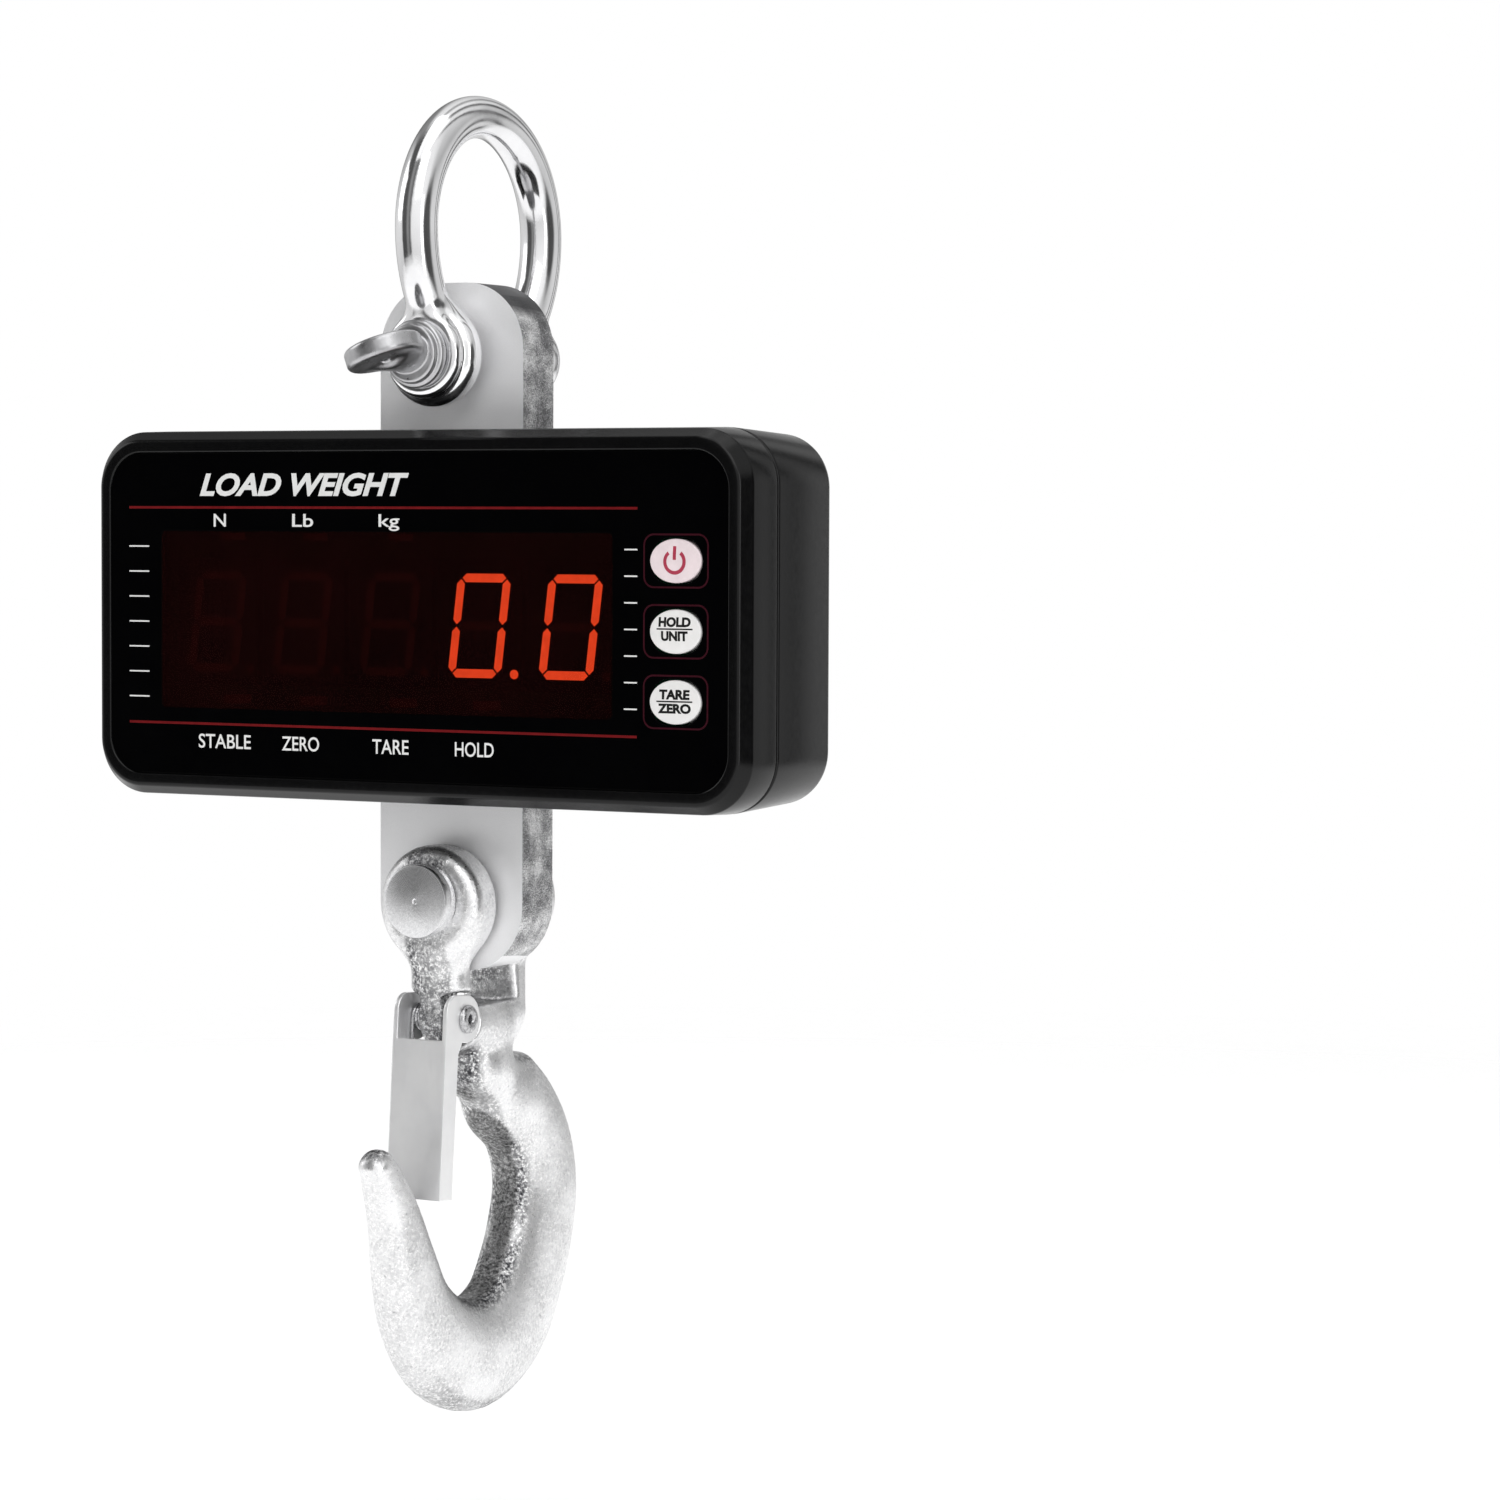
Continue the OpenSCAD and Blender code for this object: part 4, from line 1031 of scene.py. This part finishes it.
def make_panel_prints():
    """The panel's title, unit and state words, scale ticks, red lines and the frames round the keys."""
    white = [word(*TITLE, 0.3, 0.035)]
    white += [word(*entry, 0.0, 0.01) for entry in UNIT_WORDS + STATE_WORDS]
    for i in range(TICK_COUNT):
        z = TICK_TOP - TICK_STEP * i
        white.append(bar_print(LINE_X[0], LINE_X[0] + TICK_LENGTHS[0], z - TICK_HALF, z + TICK_HALF))
        white.append(bar_print(LINE_X[1] - TICK_LENGTHS[1], LINE_X[1], z - TICK_HALF, z + TICK_HALF))
    show_as(join("panel_print_white", white), WHITE_PRINT, "scale_body", "panel_black")
    red = [bar_print(*LINE_X, z - LINE_HALF, z + LINE_HALF) for z in LINE_Z]
    show_as(join("panel_print_red", red), RED_PRINT, "scale_body", "panel_black")
    frames = []
    for key in KEYS:
        low, high = box(key)
        middle = (low + high) / 2
        frames.append(ring_plate("frame", round_rect(20.4, 14.8, 3.2, 8), round_rect(19.4, 13.8, 2.7, 8),
                                 PRINT_Y, PRINT_Y + PRINT_T, (middle[0], middle[2])))
    show_as(join("key_frames", frames), FRAME_PRINT, "scale_body", "panel_black")


def on_cap(obj, middle):
    """Lays flat letters onto a key's domed face, cut every millimetre so that they follow it."""
    bm = bmesh.new()
    bm.from_mesh(obj.data)
    for step in range(-LEGEND_REACH, LEGEND_REACH + 1):
        for axis in ((1, 0, 0), (0, 0, 1)):
            at = [(middle[i] + step * (axis[i] != 0)) * MM for i in range(3)]
            everything = bm.verts[:] + bm.edges[:] + bm.faces[:]
            bmesh.ops.bisect_plane(bm, geom=everything, plane_co=at, plane_no=axis)
    bm.to_mesh(obj.data)
    bm.free()
    for vertex in obj.data.vertices:
        x, z = vertex.co.x / MM - middle[0], vertex.co.z / MM - middle[2]
        sink = CAP_CROWN * ((2 * x / KEY_W) ** 2 + (2 * z / KEY_H) ** 2)
        vertex.co.y += sink * MM
    return obj


def make_key(node, body, material, slot):
    """A domed oval key cap with a small rounded edge."""
    low, high = box(node)
    middle = (low + high) / 2
    front = low[1]
    rings = []
    for share in np.linspace(0.04, 1, 14):
        size = share * (1 - CAP_EDGE * 2 / KEY_W)
        rings.append((front + CAP_CROWN * size ** 2, ellipse(KEY_W * size, KEY_H * size)))
    rim_y = rings[-1][0]
    for a in np.linspace(15, 90, 6):
        grow = CAP_EDGE * math.sin(math.radians(a))
        drop = CAP_EDGE * (1 - math.cos(math.radians(a)))
        size = CAP_EDGE - grow
        rings.append((rim_y + drop, ellipse(KEY_W - 2 * size, KEY_H - 2 * size)))
    rings.append((high[1], ellipse(KEY_W, KEY_H)))
    cap = loft(node + "_cap", rings, (middle[0], middle[2]), 40)
    show_as(cap, material, body, slot, node)
    return front - 0.02, middle


def make_keys():
    """The three key caps, the power symbol and the words on the other two."""
    y, middle = make_key("key_power", "power_key", KEY_PINK, "key_pink")
    cx, _, cz = middle
    gap, steps, outer, inner = 38, 40, 3.5, 2.5
    arc = []
    for k in range(steps + 1):
        a = math.radians(90 + gap + (360 - 2 * gap) * k / steps)
        arc.append((math.cos(a), math.sin(a)))
    outline = [(cx + outer * u, cz - 0.2 + outer * v) for u, v in arc]
    outline += [(cx + inner * u, cz - 0.2 + inner * v) for u, v in reversed(arc)]
    n = len(arc)
    points = [(x, depth, z) for depth in (y, y + PRINT_T) for x, z in outline]
    faces = [[k, k + 1, 2 * n - 2 - k, 2 * n - 1 - k] for k in range(n - 1)]
    faces += [[i + 2 * n for i in reversed(face)] for face in faces]
    faces += [[k, (k + 1) % (2 * n), (k + 1) % (2 * n) + 2 * n, k + 2 * n] for k in range(2 * n)]
    arc_print = add_object("arc", mesh_from("arc", points, faces))
    stroke = bar_print(cx - 0.5, cx + 0.5, cz + 0.3, cz + 4.0, y)
    symbol = on_cap(join("power_symbol", [arc_print, stroke]), middle)
    show_as(symbol, POWER_PRINT, "power_key", "key_pink")
    for node, body, top, top_w, bottom, bottom_w, line_z in (
            ("key_hold_unit", "hold_unit_key", "HOLD", 10, "UNIT", 8.3, 0.7),
            ("key_tare_zero", "tare_zero_key", "TARE", 9.5, "ZERO", 10.3, 0.2)):
        y, middle = make_key(node, body, KEY_WHITE, "key_white")
        cx, z = middle[0], middle[2] + line_z
        prints = [word(top, cx - top_w / 2, cx + top_w / 2, z + 0.55, z + 3.25, 0, 0.05, y),
                  word(bottom, cx - bottom_w / 2, cx + bottom_w / 2, z - 3.25, z - 0.55, 0, 0.05, y),
                  bar_print(cx - 5.6, cx + 5.6, z - 0.2, z + 0.2, y)]
        show_as(on_cap(join(node + "_legend", prints), middle), BLACK_PRINT, body, "key_white")


# ---------- display ----------

DIGIT_W = 15
DIGIT_H = 29
SEGMENT_W = 2.4
SEGMENT_GAP = 0.4
BAR_T = 0.3
POINT_R = 1.3
POINT_OUT = 3.9
DIGIT_SLANT = math.tan(math.radians(7))
LIT_ZERO = "abcdef"


def segment(x0, z0, x1, z1, cx, cz, y):
    """One light bar between two corners of the figure, with pointed ends."""
    run = np.array([x1 - x0, z1 - z0], float)
    run /= np.hypot(*run)
    across = np.array([-run[1], run[0]])
    half = SEGMENT_W / 2
    a = np.array([x0, z0]) + run * SEGMENT_GAP
    b = np.array([x1, z1]) - run * SEGMENT_GAP
    outline = [a, a + run * half + across * half, b - run * half + across * half,
               b, b - run * half - across * half, a + run * half - across * half]
    outline = [(p[0] + DIGIT_SLANT * p[1], p[1]) for p in outline]
    return plate("segment", outline, y, y + BAR_T, (cx, cz))


def make_digit(number, lit, point=None):
    """A seven-segment figure in its dark block. lit names the bars that shine."""
    node = f"digit_{number}"
    low, high = box(node)
    cx, _, cz = (low + high) / 2
    y = low[1]
    w, h = DIGIT_W / 2, DIGIT_H / 2 - SEGMENT_W / 2
    corners = {"a": (-w, h, w, h), "b": (w, h, w, 0), "c": (w, 0, w, -h), "d": (w, -h, -w, -h),
               "e": (-w, -h, -w, 0), "f": (-w, 0, -w, h), "g": (-w, 0, w, 0)}
    block = plate("block", [(low[0], low[2]), (high[0], low[2]), (high[0], high[2]), (low[0], high[2])],
                  y + 0.2, high[1])
    block.data.materials.append(LED_BODY)
    parts = [block]
    for name, ends in corners.items():
        bar = segment(*ends, cx, cz, y)
        bar.data.materials.append(LED_ON if name in lit else LED_OFF)
        parts.append(bar)
    dot = rod("point", POINT_R, y, y + BAR_T, cx + w + POINT_OUT, cz - h, 32)
    dot.data.materials.append(LED_ON if point else LED_OFF)
    parts.append(dot)
    show_as(join(f"figure_{number}", parts), None, "scale_body", "digit_dark", node)


def make_display():
    """Five figures. The last two read 0.0."""
    for number in range(1, 6):
        make_digit(number, LIT_ZERO if number > 3 else "", number == 4)


# ---------- studio ----------

CAMERA_AIM = Vector((71.7, 31.1, -174.1)) * MM
CAMERA_DISTANCE = 1.2522
CAMERA_AZIMUTH = math.radians(28.99)
CAMERA_ELEVATION = math.radians(2.90)
CAMERA_ROLL = math.radians(0.25)
FLOOR_Z = -0.42
FLOOR_R = 1.6


def make_camera():
    data = bpy.data.cameras.new("camera")
    data.lens = 105.13
    data.sensor_width = 36
    data.clip_start = 0.05
    data.clip_end = 20
    camera = bpy.data.objects.new("camera", data)
    level = math.cos(CAMERA_ELEVATION)
    back = Vector((math.sin(CAMERA_AZIMUTH) * level, -math.cos(CAMERA_AZIMUTH) * level,
                   math.sin(CAMERA_ELEVATION)))
    turn = back.to_track_quat("Z", "Y") @ Matrix.Rotation(CAMERA_ROLL, 3, "Z").to_quaternion()
    camera.rotation_mode = "QUATERNION"
    camera.rotation_quaternion = turn
    camera.location = CAMERA_AIM + back * CAMERA_DISTANCE
    bpy.context.scene.collection.objects.link(camera)
    bpy.context.scene.camera = camera


def area_light(name, location, target, size, power, size_y=None):
    data = bpy.data.lights.new(name, "AREA")
    data.energy = power
    data.shape = "RECTANGLE"
    data.size = size
    data.size_y = size_y or size
    light = bpy.data.objects.new(name, data)
    light.location = location
    light.rotation_mode = "QUATERNION"
    light.rotation_quaternion = (Vector(location) - Vector(target)).to_track_quat("Z", "Y")
    bpy.context.scene.collection.objects.link(light)
    return light


def make_world():
    """White behind the object. What the metal mirrors is a studio of pale walls with dark gaps.

    ahead and behind hold the walls' brightness from left to right, on the camera's side of the object
    and beyond it. front_walls and back_walls hold it from the floor up.
    """
    world = bpy.data.worlds.new("studio")
    world.use_nodes = True
    tree = world.node_tree
    tree.nodes.clear()

    def node(kind, inputs=(), **settings):
        return add_node(tree, kind, inputs, **settings)

    direction = node("TexCoord").outputs["Generated"]
    axes = node("SeparateXYZ", {"Vector": direction}).outputs

    across = node("MapRange", {"Value": axes["X"], "From Min": -1.0, "From Max": 1.0}).outputs[0]
    ahead = add_ramp(tree, across, [
        (0.0, 0.85), (0.10, 0.85), (0.14, 0.09), (0.28, 0.09), (0.36, 0.3), (0.48, 0.12),
        (0.56, 0.95), (0.90, 1.0), (0.955, 0.9), (0.98, 0.08), (1.0, 0.08)])
    behind = add_ramp(tree, across, [
        (0.0, 0.85), (0.08, 0.75), (0.12, 0.3), (0.20, 0.3), (0.27, 0.8), (0.38, 0.9), (0.42, 0.35),
        (0.45, 0.35), (0.50, 0.95), (0.56, 0.95), (0.59, 0.12), (0.62, 0.12), (0.66, 0.85), (0.72, 0.9),
        (0.738, 0.1), (0.752, 0.1), (0.78, 0.8), (0.94, 0.8), (0.98, 0.1), (1.0, 0.1)])
    side = node("MapRange", {"Value": axes["Y"], "From Min": -0.12, "From Max": 0.2}).outputs[0]
    bands = node("Mix", {0: side, 6: ahead, 7: behind}, data_type="RGBA").outputs[2]
    height = node("MapRange", {"Value": axes["Z"], "From Min": -1.0, "From Max": 1.0}).outputs[0]
    front_walls = add_ramp(tree, height, [(0.0, 0.5), (0.35, 0.8), (0.5, 0.9), (0.7, 1.0)])
    back_walls = add_ramp(tree, height, [
        (0.0, 0.2), (0.28, 0.15), (0.38, 0.8), (0.56, 0.9), (0.66, 0.6), (0.93, 1.0)])
    walls = node("Mix", {0: side, 6: front_walls, 7: back_walls}, data_type="RGBA").outputs[2]
    studio = node("Mix", {6: walls, 7: bands, 0: 1.0}, data_type="RGBA", blend_type="MULTIPLY").outputs[2]
    seen = node("LightPath").outputs["Is Camera Ray"]
    color = node("Mix", {0: seen, 6: studio, 7: (1, 1, 1, 1)}, data_type="RGBA").outputs[2]
    background = node("Background", {"Color": color, "Strength": 1.0})
    output = node("OutputWorld")
    tree.links.new(background.outputs[0], output.inputs["Surface"])
    bpy.context.scene.world = world


def make_stage():
    """A pale floor that fades out at its rim, and the soft lights."""
    f = Finish("floor", (0.9, 0.9, 0.9), 0, 0.9, Emission_Color=(1, 1, 1, 1), Emission_Strength=0.4)
    radius = f.node("VectorMath", {0: f.coords}, operation="LENGTH").outputs["Value"]
    fade = f.node("MapRange", {"Value": radius, "From Min": FLOOR_R * 0.55, "From Max": FLOOR_R * 0.98,
                               "To Min": 1.0, "To Max": 0.0}).outputs[0]
    f.links.new(fade, f.shader.inputs["Alpha"])
    f.color(f.ramp(f.noise(300, 2), [(0.3, 0.88), (0.7, 0.92)]))
    floor = lathe("floor", [(0, 0), (FLOOR_R / MM, 0)], (0, 0, 0), "Y", 96)
    floor.data.transform(Matrix.Rotation(math.radians(90), 4, "X"))
    floor.location = (0, 0, FLOOR_Z)
    floor.data.materials.append(f.done())
    middle = (0, 0, -0.18)
    area_light("key_light", (0.9, -1.3, 1.3), middle, 1.2, 6)
    area_light("left_light", (-1.5, -0.6, 0.6), middle, 0.9, 3)
    area_light("top_light", (0, -0.3, 1.6), middle, 1.4, 6)
    area_light("edge_light", (1.55, -0.85, -0.05), middle, 0.3, 3.5, 1.3)


make_bow()
make_pin()
make_hook()
make_clevis_pin()
make_rivet()
make_front_shell()
make_rear_shell()
make_panel_prints()
make_keys()
make_display()
finish_cad_nodes()
make_camera()
make_world()
make_stage()

bpy.context.scene.view_settings.view_transform = "Standard"
